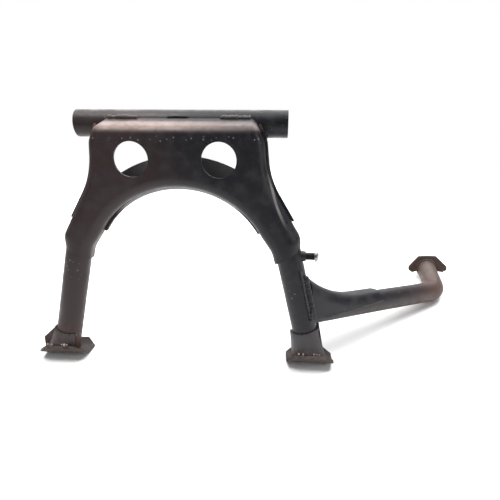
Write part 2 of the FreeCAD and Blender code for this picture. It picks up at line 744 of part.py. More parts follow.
# Pad on the end of the lever, curved about an upright axis on the lever's side
level_up = to_level.multVec(Vector(0, 0, 1))
roll = FreeCAD.Rotation(tail_dir, -size("PadRoll"))
pad_up = roll.multVec(level_up)
pad_centre = lever_end + level_up * size("PadLift") - tail_dir * size("PadRound")
pad_frame = frame(pad_centre, tail_dir, pad_up)
pad_body = new_body("pad", pad_frame)
pad_section = sketch_on(pad_body, "pad_section", "XZ_Plane")
add_polygon(pad_section, [("Sizes.PadRound", "-Sizes.PadTall / 2"),
                          ("Sizes.PadRound + Sizes.PadThick", "-Sizes.PadTall / 2"),
                          ("Sizes.PadRound + Sizes.PadThick", "Sizes.PadTall / 2"),
                          ("Sizes.PadRound", "Sizes.PadTall / 2")])
pad_sweep = pad_body.newObject("PartDesign::Revolution", "pad_sweep")
pad_sweep.Profile = pad_section
pad_sweep.ReferenceAxis = (pad_section, ["V_Axis"])
pad_sweep.Midplane = True
# a little over the pad's width, which its outline trims
bind(pad_sweep, Angle="60 * Sizes.PadWide / Sizes.PadRound")
doc.recompute()
pad_outline = new_body("pad_outline", pad_frame)
pad_corners = sketch_on(pad_outline, "pad_corners", "YZ_Plane")
half_pad = [("Sizes.PadWide / 2 - Sizes.PadClip", "-Sizes.PadTall / 2"),
            ("Sizes.PadWide / 2", "Sizes.PadClip - Sizes.PadTall / 2"),
            ("Sizes.PadWide / 2", "Sizes.PadTall / 2 - Sizes.PadShoulder"),
            ("Sizes.PadCrown / 2", "Sizes.PadTall / 2")]
add_polygon(pad_corners, half_pad + [("-(%s)" % across, up) for across, up in reversed(half_pad)])
pad_run = pad_outline.newObject("PartDesign::Pad", "pad_run")
pad_run.Profile = pad_corners
bind(pad_run, Length="Sizes.PadRound + 2 * Sizes.PadThick")
doc.recompute()
pad_common = doc.addObject("Part::MultiCommon", "pad_common")
pad_common.Shapes = [pad_body, pad_outline]
doc.recompute()
lever_pad = keep(pad_common, "lever_pad")

quarter = FreeCAD.Placement(Vector(0, 0, -2 * size("LeverOuter")),
                            FreeCAD.Rotation(Vector(0, 0, 1), -45))
behind_pad = primitive("Cylinder", "behind_pad", pad_frame.multiply(quarter), Angle="90",
                       Radius="Sizes.PadRound + 2 * Sizes.LeverOuter", Height="4 * Sizes.LeverOuter")
below_pad = FreeCAD.Placement(Vector(0, 0, -3 * size("LeverOuter")), FreeCAD.Rotation())
before_pad = primitive("Cylinder", "before_pad", pad_frame.multiply(below_pad),
                       Radius="Sizes.PadRound", Height="6 * Sizes.LeverOuter")
pad_mould = cut("pad_mould", behind_pad, before_pad)
lever_tube = keep(cut("lever_cut", lever_core, lever_bore, cores["right"], pad_mould), "lever_tube")

# Saddle over the root of the lever: an arched shell that rises up the leg
saddle_frame = frame(lever_root, run_dir, leg_point(RIGHT, 0) - leg_point(RIGHT, 1))


def build_saddle(name, inset, ends):
    """Side view of the saddle, padded across and rounded on top.

    inset is how far it lies inside the saddle's outside, ends how far it runs past both ends.
    """
    body = new_body(name, saddle_frame)
    side_view = sketch_on(body, name + "_side", "XZ_Plane")
    crown = "(Sizes.LeverOuter / 2 + Sizes.SaddleThick - %s)" % inset
    round_cell = "(Sizes.SaddleFlat ^ 2 + Sizes.SaddleRise ^ 2) / (2 * Sizes.SaddleRise) + %s" % inset
    high, arc_round = evaluate(side_view, crown), evaluate(side_view, round_cell)
    flat, back, front = size("SaddleFlat"), -ends, size("SaddleLong") + ends
    foot, tip = -size("SaddleSkirt") - ends, size("SaddleTip") - ends
    reach = math.asin((flat - back) / arc_round)
    arc_top = high + arc_round * (1 - math.cos(reach))
    corners = [Vector(back, foot, 0), Vector(front, tip, 0), Vector(front, high, 0),
               Vector(flat, high, 0), Vector(back, arc_top, 0)]
    for first, second in ((0, 1), (1, 2), (2, 3)):
        side_view.addGeometry(Part.LineSegment(corners[first], corners[second]), False)
    circle = Part.Circle(Vector(flat, high + arc_round, 0), Vector(0, 0, 1), arc_round)
    side_view.addGeometry(Part.ArcOfCircle(circle, -math.pi / 2 - reach, -math.pi / 2), False)
    side_view.addGeometry(Part.LineSegment(corners[4], corners[0]), False)
    for first, second in (((0, 2), (1, 1)), ((1, 2), (2, 1)), ((4, 2), (0, 1)), ((3, 1), (4, 1))):
        side_view.addConstraint(Sketcher.Constraint("Coincident", *first, *second))
    side_view.addConstraint(Sketcher.Constraint("Tangent", 2, 2, 3, 2))
    for kind, lines in (("Horizontal", (2,)), ("Vertical", (1, 4))):
        for line in lines:
            side_view.addConstraint(Sketcher.Constraint(kind, line))
    cells = [("DistanceX", (0, 1), back, str(-ends)),
             ("DistanceY", (0, 1), foot, "-Sizes.SaddleSkirt - %g" % ends),
             ("DistanceX", (1, 2), front, "Sizes.SaddleLong + %g" % ends),
             ("DistanceY", (1, 1), tip, "Sizes.SaddleTip - %g" % ends),
             ("DistanceY", (1, 2), high, crown),
             ("DistanceX", (2, 2), flat, "Sizes.SaddleFlat")]
    for kind, point, value, expression in cells:
        place = side_view.addConstraint(Sketcher.Constraint(kind, -1, 1, *point, value))
        side_view.setExpression("Constraints[%d]" % place, expression)
    place = side_view.addConstraint(Sketcher.Constraint("Radius", 3, arc_round))
    side_view.setExpression("Constraints[%d]" % place, round_cell)
    across = body.newObject("PartDesign::Pad", name + "_across")
    across.Profile = side_view
    across.Midplane = True
    bind(across, Length="2 * " + crown)
    doc.recompute()
    upper = edges_where(across.Shape, lambda edge: edge.BoundBox.ZMin > high / 2
                        and edge.BoundBox.YLength < 1.0)
    rounded = body.newObject("PartDesign::Fillet", name + "_rounded")
    rounded.Base = (across, edge_names(upper))
    bind(rounded, Radius=crown + " - Sizes.SaddleRidge / 2")
    doc.recompute()
    return body


PAST_END = 2.0  # how far the inside runs on, so that both ends of the saddle are open
saddle_outside = build_saddle("saddle_outside", "0", 0.0)
saddle_inside = build_saddle("saddle_inside", "Sizes.SaddleThick", PAST_END)
lever_saddle = keep(cut("saddle_cut", saddle_outside, saddle_inside, cores["right"], lever_core),
                    "lever_saddle")

# Strut from the underside of the lever to the right foot plate
strut_drop = size("StandHeight") - size("StrutTall")
strut_top = Vector(leg_point(RIGHT, strut_drop).x + size("StrutOut"), -size("StrutForward"),
                   -strut_drop)
strut_lean = math.radians(size("StrutLean"))
strut_place = frame(strut_top, Vector(0, -1, 0), Vector(math.sin(strut_lean), 0, -math.cos(strut_lean)))
strut = primitive("Box", "strut", strut_place.multiply(FreeCAD.Placement(
                      Vector(0, -size("StrutWide") / 2, 0), FreeCAD.Rotation())),
                  Length="Sizes.StrutThick", Width="Sizes.StrutWide",
                  Height="Sizes.StrutTall + Sizes.FootRound")
keep(cut("strut_cut", strut, lever_core, cores["right"], flares["right"], moulds["right"]),
     "right_foot_strut")

# Spring pin and its boss on the right leg
pin_frame = FreeCAD.Placement(leg_point(RIGHT, size("PinDrop")), FreeCAD.Rotation())
pin_body = new_body("pin", pin_frame)
pin_section = sketch_on(pin_body, "pin_section", "XZ_Plane")
add_polygon(pin_section, [("Sizes.LegOuter / 4", "0"),
                          ("Sizes.PinReach", "0"),
                          ("Sizes.PinReach", "Sizes.PinHead / 4"),
                          ("Sizes.PinReach - Sizes.PinHeadThick / 2", "Sizes.PinHead / 2"),
                          ("Sizes.PinReach - Sizes.PinHeadThick", "Sizes.PinHead / 2"),
                          ("Sizes.PinReach - Sizes.PinHeadThick", "Sizes.PinShank / 2"),
                          ("Sizes.LegOuter / 4", "Sizes.PinShank / 2")])
pin_turn = pin_body.newObject("PartDesign::Revolution", "pin_turn")
pin_turn.Profile = pin_section
pin_turn.ReferenceAxis = (pin_section, ["H_Axis"])
doc.recompute()
spring_pin = keep(cut("pin_cut", pin_body, cores["right"]), "spring_pin")
boss = primitive("Cone", "boss", frame(pin_frame.Base + Vector(size("LegOuter") / 4, 0, 0), DOWN,
                                       Vector(1, 0, 0)),
                 Radius1="Sizes.BossWide / 2", Radius2="Sizes.BossTip / 2",
                 Height="Sizes.BossReach - Sizes.LegOuter / 4")
pin_core = primitive("Cylinder", "pin_core", frame(pin_frame.Base, DOWN, Vector(1, 0, 0)),
                     Radius="Sizes.PinShank / 2", Height="Sizes.PinReach")
keep(cut("boss_cut", boss, pin_core, cores["right"]), "spring_pin_boss")


# Weld beads, each let into the pieces that it joins
def bead(label, start, along, length, *neighbours):
    """Straight bead from a point of the upright stand, with its length as an expression."""
    across = Vector(0, 1, 0) if abs(along.z) > abs(along.y) else DOWN
    item = primitive("Cylinder", label + "_bead", frame(start, along.cross(across), along),
                     Radius="Sizes.BeadRound", Height=length)
    return keep(cut(label + "_cut", item, *neighbours), label)


meet_y = -math.sqrt((size("PivotOuter") / 2) ** 2 - size("FlangeMeet") ** 2)
under_z = -math.sqrt((size("PivotOuter") / 2) ** 2 - rear_back ** 2)
for name, side in SIDES:
    outwards = Vector(side, 0, 0)
    bead(name + "_top_weld", outwards * size("TopBeadStart") + Vector(0, meet_y, size("FlangeMeet")),
         outwards, "Sizes.TopBeadLong", pivot_core, front_pressing)
    rear_bead_start = size("ShoulderHalf") - size("RearBeadInset")
    bead(name + "_rear_weld", outwards * rear_bead_start + Vector(0, rear_back, under_z),
         outwards, "Sizes.RearBeadLong", pivot_core, rear_pressing)

down_leg = leg_point(RIGHT, 1) - leg_point(RIGHT, 0)
seam_out = run_dir.cross(down_leg).normalize() * -(leg_radius + size("BeadRound") / 2)
bead("saddle_leg_weld", leg_point(RIGHT, size("SeamTopDrop")) + seam_out, down_leg,
     "Sizes.SeamLong", cores["right"], saddle_outside, lever_core)

# Checks before anything is written
for item in doc.Objects:
    if "Invalid" in item.State or "Error" in item.State:
        raise RuntimeError("%s: %s" % (item.Name, item.getStatusString()))
for item in parts:
    if item.Shape.isNull() or not item.Shape.isValid() or len(item.Shape.Solids) != 1:
        raise RuntimeError("%s is not one valid solid" % item.Label)

os.makedirs("parts", exist_ok=True)
for item in parts:
    item.Shape.exportStep("parts/%s.step" % item.Label)
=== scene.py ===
"""Motorcycle centre stand: worn charcoal paint, rusted feet and weld beads on the fixed frame."""

import logging
import math
from dataclasses import dataclass
from enum import Enum
from typing import Optional, Sequence, Union

import bpy
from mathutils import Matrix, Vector


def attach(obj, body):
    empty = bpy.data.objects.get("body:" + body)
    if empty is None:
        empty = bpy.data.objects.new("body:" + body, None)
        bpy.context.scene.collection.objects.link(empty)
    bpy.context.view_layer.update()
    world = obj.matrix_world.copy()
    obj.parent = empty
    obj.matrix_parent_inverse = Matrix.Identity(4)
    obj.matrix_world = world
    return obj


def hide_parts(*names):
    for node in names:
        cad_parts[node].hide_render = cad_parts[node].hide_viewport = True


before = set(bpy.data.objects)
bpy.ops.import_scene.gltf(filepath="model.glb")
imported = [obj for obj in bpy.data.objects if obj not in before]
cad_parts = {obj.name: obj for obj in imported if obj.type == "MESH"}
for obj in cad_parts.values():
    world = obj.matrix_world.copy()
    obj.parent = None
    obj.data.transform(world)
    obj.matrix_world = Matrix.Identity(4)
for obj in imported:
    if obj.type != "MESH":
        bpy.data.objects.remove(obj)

logging.basicConfig(level=logging.INFO, format="%(message)s")
log = logging.getLogger("centre_stand")

ROOT = "root"
MM = 0.001
DROP_LEVELS = 3

Colour = tuple[float, float, float]
Point = tuple[float, float, float]
Span = tuple[float, float]
Pair = tuple[float, float]

PLUS_X = Vector((1, 0, 0))
UPWARDS = Vector((0, 0, 1))
WHITE = (1.0, 1.0, 1.0, 1.0)


class Place(Enum):
    """Materials of the stand, by what they cover."""

    PAINT = "charcoal_paint"
    # inner paint: its face inside the box gets a pale colour as painted light
    INNER = "inner_paint_with_painted_light"
    SLEEVE = "grey_sleeve_paint"
    RUST = "rusted_steel"
    WELD = "painted_weld"
    BARE_WELD = "bare_weld"
    STEEL = "polished_steel"
    FLOOR = "studio_floor"


class Side(Enum):
    """Sides of the stand, with the sign of their X."""

    LEFT = -1
    RIGHT = 1

    @property
    def label(self) -> str:
        """Give the word that the side's pieces are named with."""
        return self.name.lower()


@dataclass(frozen=True)
class LeverRun:
    """Run of the lever in the upright stand.

    Args:
        root: Where its axis leaves the leg's, in millimetres.
        run: Direction of its straight run.
        corner: Where the axes of run and tail meet, in millimetres.
        tail: Direction of its tail.
    """

    root: Vector
    run: Vector
    corner: Vector
    tail: Vector


@dataclass(frozen=True)
class StandSizes:
    """Sizes of the stand that the added pieces follow, in millimetres, before it leans.

    Args:
        lean: Turn of the stand about its pivot as it rests, in degrees.
        height: From the pivot's axis to the ground, as it rests.
        pivot_radius: Outer radius of the pivot tube.
        flange_meet: Height above the pivot's axis at which the top flange meets the tube.
        leg_radius: Outer radius of the legs and the lever.
        leg_forward: Distance of the legs in front of the pivot.
        leg_apart: X of a leg's axis at the height of the pivot.
        leg_splay: Slant of the legs in degrees.
        lever_drop: Depth below the pivot at which the lever leaves its leg.
        lever_reach: X of the lever's corner.
        lever_back: Y of the lever's corner.
        lever_tail: Length of the lever from its corner to the pad.
        lever_turn: Direction of the tail from +X, in degrees.
        saddle_long: Length of the saddle along the lever.
        saddle_skirt: How far the saddle's sides reach below the lever's axis at the leg.
        saddle_tip: How far above that axis its sides end at the far end.
        sheet: Thickness of the sheet.
    """

    lean: float = 5.0
    height: float = 266.0
    pivot_radius: float = 14.3
    flange_meet: float = 5.6
    leg_radius: float = 14.3
    leg_forward: float = 23.4
    leg_apart: float = 85.7
    leg_splay: float = 13.5
    lever_drop: float = 208.0
    lever_reach: float = 349.0
    lever_back: float = 136.0
    lever_tail: float = 87.0
    lever_turn: float = 80.0
    saddle_long: float = 124.0
    saddle_skirt: float = 5.0
    saddle_tip: float = 4.0
    sheet: float = 2.6

    def rest(self, point: Sequence[float]) -> Vector:
        """Carry a point of the upright stand to where it rests.

        Args:
            point: X, Y and Z in the upright stand, in millimetres.

        Returns:
            The point in the row frame, in metres.
        """
        turn = math.radians(-self.lean)
        x, y, z = point
        return Vector((x, y * math.cos(turn) - z * math.sin(turn),
                       y * math.sin(turn) + z * math.cos(turn))) * MM

    def leg(self, side: Side, drop: float) -> Vector:
        """Find a point on a leg's axis.

        Args:
            side: Side of the leg.
            drop: Distance below the pivot, in millimetres.

        Returns:
            The point in the upright stand, in millimetres.
        """
        out = self.leg_apart + drop * math.tan(math.radians(self.leg_splay))
        return Vector((side.value * out, -self.leg_forward, -drop))

    def leg_down(self, side: Side) -> Vector:
        """Give the direction down a leg's axis in the upright stand.

        Args:
            side: Side of the leg.

        Returns:
            A unit vector.
        """
        further = 100.0
        return (self.leg(side, further) - self.leg(side, 0.0)).normalized()

    def lever(self) -> LeverRun:
        """Give the run of the lever in the upright stand.

        Returns:
            Its root, corner and directions.
        """
        lean = math.radians(self.lean)
        root = self.leg(Side.RIGHT, self.lever_drop)
        rise = self.lever_back * math.sin(lean) + self.leg_radius - self.height
        corner = Vector((self.lever_reach, self.lever_back, rise / math.cos(lean)))
        turn = math.radians(self.lever_turn)
        tail = Vector((math.cos(turn), math.sin(turn) * math.cos(lean),
                       math.sin(turn) * math.sin(lean)))
        return LeverRun(root, (corner - root).normalized(), corner, tail)


STAND = StandSizes()


@dataclass(frozen=True)
class Noise:
    """Cloudy noise.

    Args:
        scale: Waves per metre.
        detail: Finer layers.
        rough: Weight of the finer layers.
        stretch: Factors on the axes, if any.
        warp: Distortion.
    """

    scale: float
    detail: float = 4.0
    rough: float = 0.55
    stretch: Optional[Point] = None
    warp: float = 0.0


@dataclass(frozen=True)
class Band:
    """Stripe about one value.

    Args:
        middle: Value in the middle of the stripe.
        outer: Distance from the middle at which its mask is 0.
        inner: Distance from the middle at which its mask is 1.
    """

    middle: float
    outer: float
    inner: float


Number = Union[float, "Value"]
Tint = Union["Value", Colour]


class Value:
    """A shader socket that can be reckoned with."""

    def __init__(self, shade: "Shade", socket: bpy.types.NodeSocket) -> None:
        """Wrap a socket of a material."""
        self.shade = shade
        self.socket = socket

    def __add__(self, other: Number) -> "Value":
        """Add a value or number."""
        return self.shade.reckon("ADD", self, other)

    def __radd__(self, other: Number) -> "Value":
        """Add the value to a number."""
        return self + other

    def __sub__(self, other: Number) -> "Value":
        """Take a value or number off."""
        return self.shade.reckon("SUBTRACT", self, other)

    def __rsub__(self, other: Number) -> "Value":
        """Take the value off a number."""
        return self.shade.reckon("SUBTRACT", other, self)

    def __mul__(self, other: Number) -> "Value":
        """Multiply by a value or number."""
        return self.shade.reckon("MULTIPLY", self, other)

    def __rmul__(self, other: Number) -> "Value":
        """Multiply a number by the value."""
        return self * other

    def most(self, other: Number) -> "Value":
        """Take the larger of two values."""
        return self.shade.reckon("MAXIMUM", self, other)

    def size(self) -> "Value":
        """Take the value without its sign."""
        return self.shade.reckon("ABSOLUTE", self)

    def band(self, stripe: Band) -> "Value":
        """Give the mask of a stripe of this value."""
        return (self - stripe.middle).size().ramp(stripe.outer, stripe.inner)

    def ramp(self, low: float, high: float, start: float = 0.0, end: float = 1.0) -> "Value":
        """Map the value smoothly from one range to another, held at both ends.

        Args:
            low: Value that gives start.
            high: Value that gives end.
            start: Result at low.
            end: Result at high.

        Returns:
            The mapped value.
        """
        node = self.shade.node("ShaderNodeMapRange", interpolation_type="SMOOTHSTEP")
        self.shade.feed(node.inputs["Value"], self)
        for name, number in (("From Min", low), ("From Max", high),
                             ("To Min", start), ("To Max", end)):
            node.inputs[name].default_value = number
        return Value(self.shade, node.outputs["Result"])


class Shade:
    """Builder of one procedural material around a single Principled shader."""

    def __init__(self, place: Place) -> None:
        """Start an empty material for a place."""
        self.material = bpy.data.materials.new(place.value)
        self.material.use_nodes = True
        self.tree = self.material.node_tree
        self.tree.nodes.clear()
        output = self.node("ShaderNodeOutputMaterial")
        self.bsdf = self.node("ShaderNodeBsdfPrincipled")
        self.tree.links.new(self.bsdf.outputs["BSDF"], output.inputs["Surface"])
        self.position = self.node("ShaderNodeTexCoord").outputs["Object"]

    def node(self, kind: str, **settings: object) -> bpy.types.Node:
        """Add a node.

        Args:
            kind: Type name of the node.
            **settings: Attributes to set on it.

        Returns:
            The node.
        """
        made = self.tree.nodes.new(kind)
        for name, value in settings.items():
            setattr(made, name, value)
        return made

    def feed(self, socket: bpy.types.NodeSocket, item: Union[Number, Sequence[float]]) -> None:
        """Link a value to a socket, or set a constant on it.

        Args:
            socket: Where it goes.
            item: Value, number or colour.
        """
        if isinstance(item, Value):
            self.tree.links.new(item.socket, socket)
        elif isinstance(item, (int, float)):
            socket.default_value = item
        else:
            socket.default_value = (*item, 1.0)[:4]

    def reckon(self, operation: str, *items: Number) -> Value:
        """Work out one step of shader maths.

        Args:
            operation: Name of the Math node's operation.
            *items: What goes in, in order.

        Returns:
            The result.
        """
        node = self.node("ShaderNodeMath", operation=operation)
        for slot, item in enumerate(items):
            self.feed(node.inputs[slot], item)
        return Value(self, node.outputs[0])

    def along(self, axis: int) -> Value:
        """Give one coordinate of the point being shaded, in metres.

        Args:
            axis: 0, 1 or 2.

        Returns:
            The coordinate.
        """
        node = self.node("ShaderNodeSeparateXYZ")
        self.tree.links.new(self.position, node.inputs[0])
        return Value(self, node.outputs[axis])

    def away(self, centre: Sequence[float]) -> Value:
        """Give the distance from a point.

        Args:
            centre: Point in the row frame.

        Returns:
            The distance in metres.
        """
        node = self.node("ShaderNodeVectorMath", operation="DISTANCE")
        self.tree.links.new(self.position, node.inputs[0])
        node.inputs[1].default_value = centre
        return Value(self, node.outputs["Value"])

    def stretched(self, scale: Optional[Point]) -> bpy.types.NodeSocket:
        """Give the position, stretched along the axes.

        Args:
            scale: Factor on each axis, if any.

        Returns:
            The socket of the stretched position.
        """
        if scale is None:
            return self.position
        node = self.node("ShaderNodeMapping", vector_type="POINT")
        node.inputs["Scale"].default_value = scale
        self.tree.links.new(self.position, node.inputs["Vector"])
        return node.outputs["Vector"]

    def noise(self, kind: Noise) -> Value:
        """Add cloudy noise.

        Args:
            kind: Its settings.

        Returns:
            A value from 0 to 1.
        """
        node = self.node("ShaderNodeTexNoise")
        node.inputs["Scale"].default_value = kind.scale
        node.inputs["Detail"].default_value = kind.detail
        node.inputs["Roughness"].default_value = kind.rough
        node.inputs["Distortion"].default_value = kind.warp
        self.tree.links.new(self.stretched(kind.stretch), node.inputs["Vector"])
        return Value(self, node.outputs["Fac"])

    def spots(self, scale: float) -> Value:
        """Add scattered cells.

        Args:
            scale: Cells per metre.

        Returns:
            The distance to the nearest cell's point, in cells.
        """
        node = self.node("ShaderNodeTexVoronoi", feature="F1")
        node.inputs["Scale"].default_value = scale
        self.tree.links.new(self.position, node.inputs["Vector"])
        return Value(self, node.outputs["Distance"])

    def mix(self, share: Number, first: Tint, second: Tint) -> Value:
        """Mix two colours.

        Args:
            share: Share of the second one.
            first: Colour at 0.
            second: Colour at 1.

        Returns:
            The mixed colour.
        """
        node = self.node("ShaderNodeMix", data_type="RGBA")
        # the node keeps sockets for every kind of data; these are the ones for colours
        for slot, item in ((0, share), (6, first), (7, second)):
            self.feed(node.inputs[slot], item)
        return Value(self, node.outputs[2])

    def bump(self, height: Value, depth: float, strength: float) -> None:
        """Raise the surface by a height.

        Args:
            height: Height from 0 to 1.
            depth: Distance in metres at height 1.
            strength: Share of the effect.
        """
        node = self.node("ShaderNodeBump")
        node.inputs["Strength"].default_value = strength
        node.inputs["Distance"].default_value = depth
        self.tree.links.new(height.socket, node.inputs["Height"])
        self.tree.links.new(node.outputs["Normal"], self.bsdf.inputs["Normal"])

    def set(self, **inputs: Union[Number, Sequence[float]]) -> None:
        """Feed the shader's sockets.

        Args:
            **inputs: Socket names with underscores for spaces, and what feeds them.
        """
        for name, item in inputs.items():
            self.feed(self.bsdf.inputs[name.replace("_", " ")], item)


class PaintShade(Shade):
    """Builder of a paint, with the position and the noises that its marks share."""

    def __init__(self, place: Place) -> None:
        """Start the paint of a place."""
        super().__init__(place)
        self.x, self.y, self.z = (self.along(axis) for axis in range(3))
        self.clouds = self.noise(Noise(14.0, 5.0))
        self.mottle = self.noise(Noise(70.0, 6.0, 0.62))


# Marks of the paint. They lie in the row frame, in metres. A Span says where a mask is 0 and where
# it is 1, and stray is how far the noise carries an edge.


@dataclass(frozen=True)
class CoolSide:
    """Turn of the paint from warm to cool along the pivot."""

    x: Span = (-0.055, 0.035)
    stray: float = 0.10

    def mask(self, paint: PaintShade) -> Value:
        """Give the share of the cool colour."""
        return (paint.x + self.stray * paint.clouds - self.stray / 2).ramp(*self.x)


@dataclass(frozen=True)
class BrownLever:
    """Browner paint on the lever's bend and tail."""

    centre: Point = (0.352, 0.145, -0.245)
    reach: Span = (0.13, 0.05)
    stray: float = 0.05
    share: float = 0.75
    colour: Colour = (0.064, 0.039, 0.036)

    def mask(self, paint: PaintShade) -> Value:
        """Give the share of the brown."""
        return (paint.away(self.centre) + self.stray * paint.clouds).ramp(*self.reach) * self.share


@dataclass(frozen=True)
class DullTail:
    """Greyer paint on the lever's tail."""

    x: Span = (0.25, 0.29)
    y: Span = (0.140, 0.170)
    stray: float = 0.03
    share: float = 0.85
    colour: Colour = (0.062, 0.057, 0.052)

    def mask(self, paint: PaintShade) -> Value:
        """Give the share of the grey."""
        tail = (paint.y + self.stray * paint.clouds).ramp(*self.y)
        return tail * paint.x.ramp(*self.x) * self.share


@dataclass(frozen=True)
class InnerFacePaintedLight:
    """Painted light on the face inside the box, the part of the rear pressing that looks forward.

    Args:
        blend: Half the width of the change at the middle of the sheet.
        x: Distance to either side.
        z: Height.
    """

    blend: float = 0.0004
    x: Span = (0.082, 0.070)
    z: Span = (-0.095, -0.080)

    def mask(self, paint: PaintShade) -> Value:
        """Give where the painted light on the inner face is.

        Args:
            paint: The paint.

        Returns:
            The mask.
        """
        lean = math.radians(STAND.lean)
        middle = (STAND.leg_radius - STAND.leg_forward + STAND.sheet / 2) * MM
        depth = paint.y * math.cos(lean) - paint.z * math.sin(lean)
        # painted light: a pale colour on the forward face in the middle of the rear sheet
        within = depth.ramp(middle + self.blend, middle - self.blend)
        return within * paint.x.size().ramp(*self.x) * paint.z.ramp(*self.z)


@dataclass(frozen=True)
class BendWearAndHighlight:
    """Upper bend of the front pressing, worn pale with a painted highlight, most left of the
    middle.

    Args:
        z: Height of the bend.
        z_stray: How far the noise carries its edges.
        y: Depth, so that only the front is rubbed.
        x: From the right end, where wear and highlight are least, to where they are most.
        x_stray: How far the noise carries that change.
        right_share: Share at the right end.
        patches: Noise of the rubbed patches.
        patch: Where the patches begin and are full.
        patch_share: Share between the patches.
    """

    z: Band = Band(0.0030, 0.0085, 0.0008)
    z_stray: float = 0.002
    y: Span = (-0.020, -0.027)
    x: Span = (0.11, 0.0)
    x_stray: float = 0.05
    right_share: float = 0.35
    patches: Noise = Noise(150.0, 5.0, 0.65)
    patch: Span = (0.25, 0.6)
    patch_share: float = 0.6

    def mask(self, paint: PaintShade) -> Value:
        """Give the share of wear and painted highlight on the bend.

        Args:
            paint: The paint.

        Returns:
            The mask.
        """
        # worn pale paint and a painted highlight along the upper bend
        worn = (paint.z + self.z_stray * paint.clouds).band(self.z) * paint.y.ramp(*self.y)
        across = paint.x + self.x_stray * paint.clouds
        worn = worn * across.ramp(*self.x, self.right_share, 1.0)
        return worn * paint.noise(self.patches).ramp(*self.patch, self.patch_share, 1.0)


@dataclass(frozen=True)
class FlangeGapShade:
    """Painted shade of the gap in the middle, where the top flange stands off the pivot tube.

    Args:
        x: Reach along the pivot.
        x_stray: How far the noise carries its ends.
        z: Height.
        z_stray: How far the noise carries its edges.
        rear: Depth of its rear edge.
        front: Depth of its front edge.
        colour: Colour of the painted shade.
    """

    x: Band = Band(0.0045, 0.0125, 0.0100)
    x_stray: float = 0.010
    z: Band = Band(0.0078, 0.0023, 0.0016)
    z_stray: float = 0.003
    rear: Span = (-0.006, -0.009)
    front: Span = (-0.0165, -0.0145)
    colour: Colour = (0.001, 0.001, 0.001)

    def mask(self, paint: PaintShade) -> Value:
        """Give where the painted shade of the gap is.

        Args:
            paint: The paint.

        Returns:
            The mask.
        """
        # painted shade: black where the gap behind the flange lies in shade
        gap = (paint.x + self.x_stray * paint.clouds).band(self.x)
        gap = gap * (paint.z + self.z_stray * paint.mottle).band(self.z)
        return gap * paint.y.ramp(*self.rear) * paint.y.ramp(*self.front)


@dataclass(frozen=True)
class FlakedSpot:
    """Spot on the front pressing where the paint has flaked down to its dark ground."""

    centre: Point = (0.071, -0.0405, -0.029)
    reach: Span = (0.016, 0.011)
    stray: float = 0.012
    flakes: Span = (0.4, 0.55)
    colour: Colour = (0.006, 0.006, 0.008)

    def mask(self, paint: PaintShade) -> Value:
        """Give where the paint has flaked."""
        spot = (paint.away(self.centre) + self.stray * paint.mottle).ramp(*self.reach)
        return spot * paint.mottle.ramp(*self.flakes)


@dataclass(frozen=True)
class EdgePaintedHighlight:
    """Painted highlight down the curve of the rolled edge on the lever's side.

    Args:
        start_z: Height at which the curve runs straight down.
        bow: How fast it swings outwards from there, per metre.
        x: Place of the curve at that height, with its width.
        upper: Height of its upper end.
        lower: Height of its lower end.
        y: Depth, so that only the front gets the highlight.
        flakes: Where the mottle begins and ends to break it up.
        shares: Least and largest share.
    """

    start_z: float = -0.018
    bow: float = 3.1
    x: Band = Band(0.0933, 0.0019, 0.0006)
    upper: Span = (-0.006, -0.014)
    lower: Span = (-0.105, -0.080)
    y: Span = (-0.026, -0.032)
    flakes: Span = (0.3, 0.5)
    shares: Pair = (0.4, 0.8)

    def mask(self, paint: PaintShade) -> Value:
        """Give where the painted highlight on the edge is.

        Args:
            paint: The paint.

        Returns:
            The mask.
        """
        # painted highlight along the rolled edge
        below = paint.z - self.start_z
        edge = (paint.x - below * below * self.bow).band(self.x)
        edge = edge * paint.z.ramp(*self.upper) * paint.z.ramp(*self.lower)
        return edge * paint.y.ramp(*self.y) * paint.mottle.ramp(*self.flakes, *self.shares)


@dataclass(frozen=True)
class ThinRust:
    """Thin rust near the ground and in patches.

    Args:
        stray: How far the noise carries its upper edge.
        fade: Height over which it comes in.
        low_share: Share near the ground.
        patches: Noise of the patches.
        patch: Where the patches begin and are full.
        patch_share: Share in the patches.
        speckle: Noise of its specks.
        speckled: Where the specks begin and are full.
        bright: Colour of the specks.
    """

    stray: float = 0.045
    fade: float = 0.047
    low_share: float = 0.55
    patches: Noise = Noise(55.0, 7.0, 0.68)
    patch: Span = (0.64, 0.76)
    patch_share: float = 0.4
    speckle: Noise = Noise(520.0, 3.0, 0.6)
    speckled: Span = (0.35, 0.7)
    bright: Colour = (0.135, 0.078, 0.058)

    def mask(self, paint: PaintShade, begin: float, more: float) -> Value:
        """Give the share of rust.

        Args:
            paint: The paint.
            begin: Height from which it begins towards the ground.
            more: Added everywhere.

        Returns:
            The mask.
        """
        low = (paint.z + self.stray * paint.clouds).ramp(begin, begin - self.fade)
        patches = paint.noise(self.patches).ramp(*self.patch)
        return (self.low_share * low).most(self.patch_share * patches) + more


@dataclass(frozen=True)
class Scuffs:
    """Scuffs that run across the piece, in some areas.

    Args:
        streaks: Noise of the scuffs.
        streak: Where a scuff begins and is full.
        areas: Noise of the areas.
        area: Where an area begins and is full.
        share: Share of the scuffs.
    """

    streaks: Noise = Noise(60.0, 5.0, 0.7, (1.0, 1.0, 6.0), 1.2)
    streak: Span = (0.665, 0.73)
    areas: Noise = Noise(22.0, 2.0)
    area: Span = (0.45, 0.6)
    share: float = 0.55

    def mask(self, paint: PaintShade) -> Value:
        """Give where the scuffs are."""
        scuffs = paint.noise(self.streaks).ramp(*self.streak)
        return scuffs * paint.noise(self.areas).ramp(*self.area) * self.share


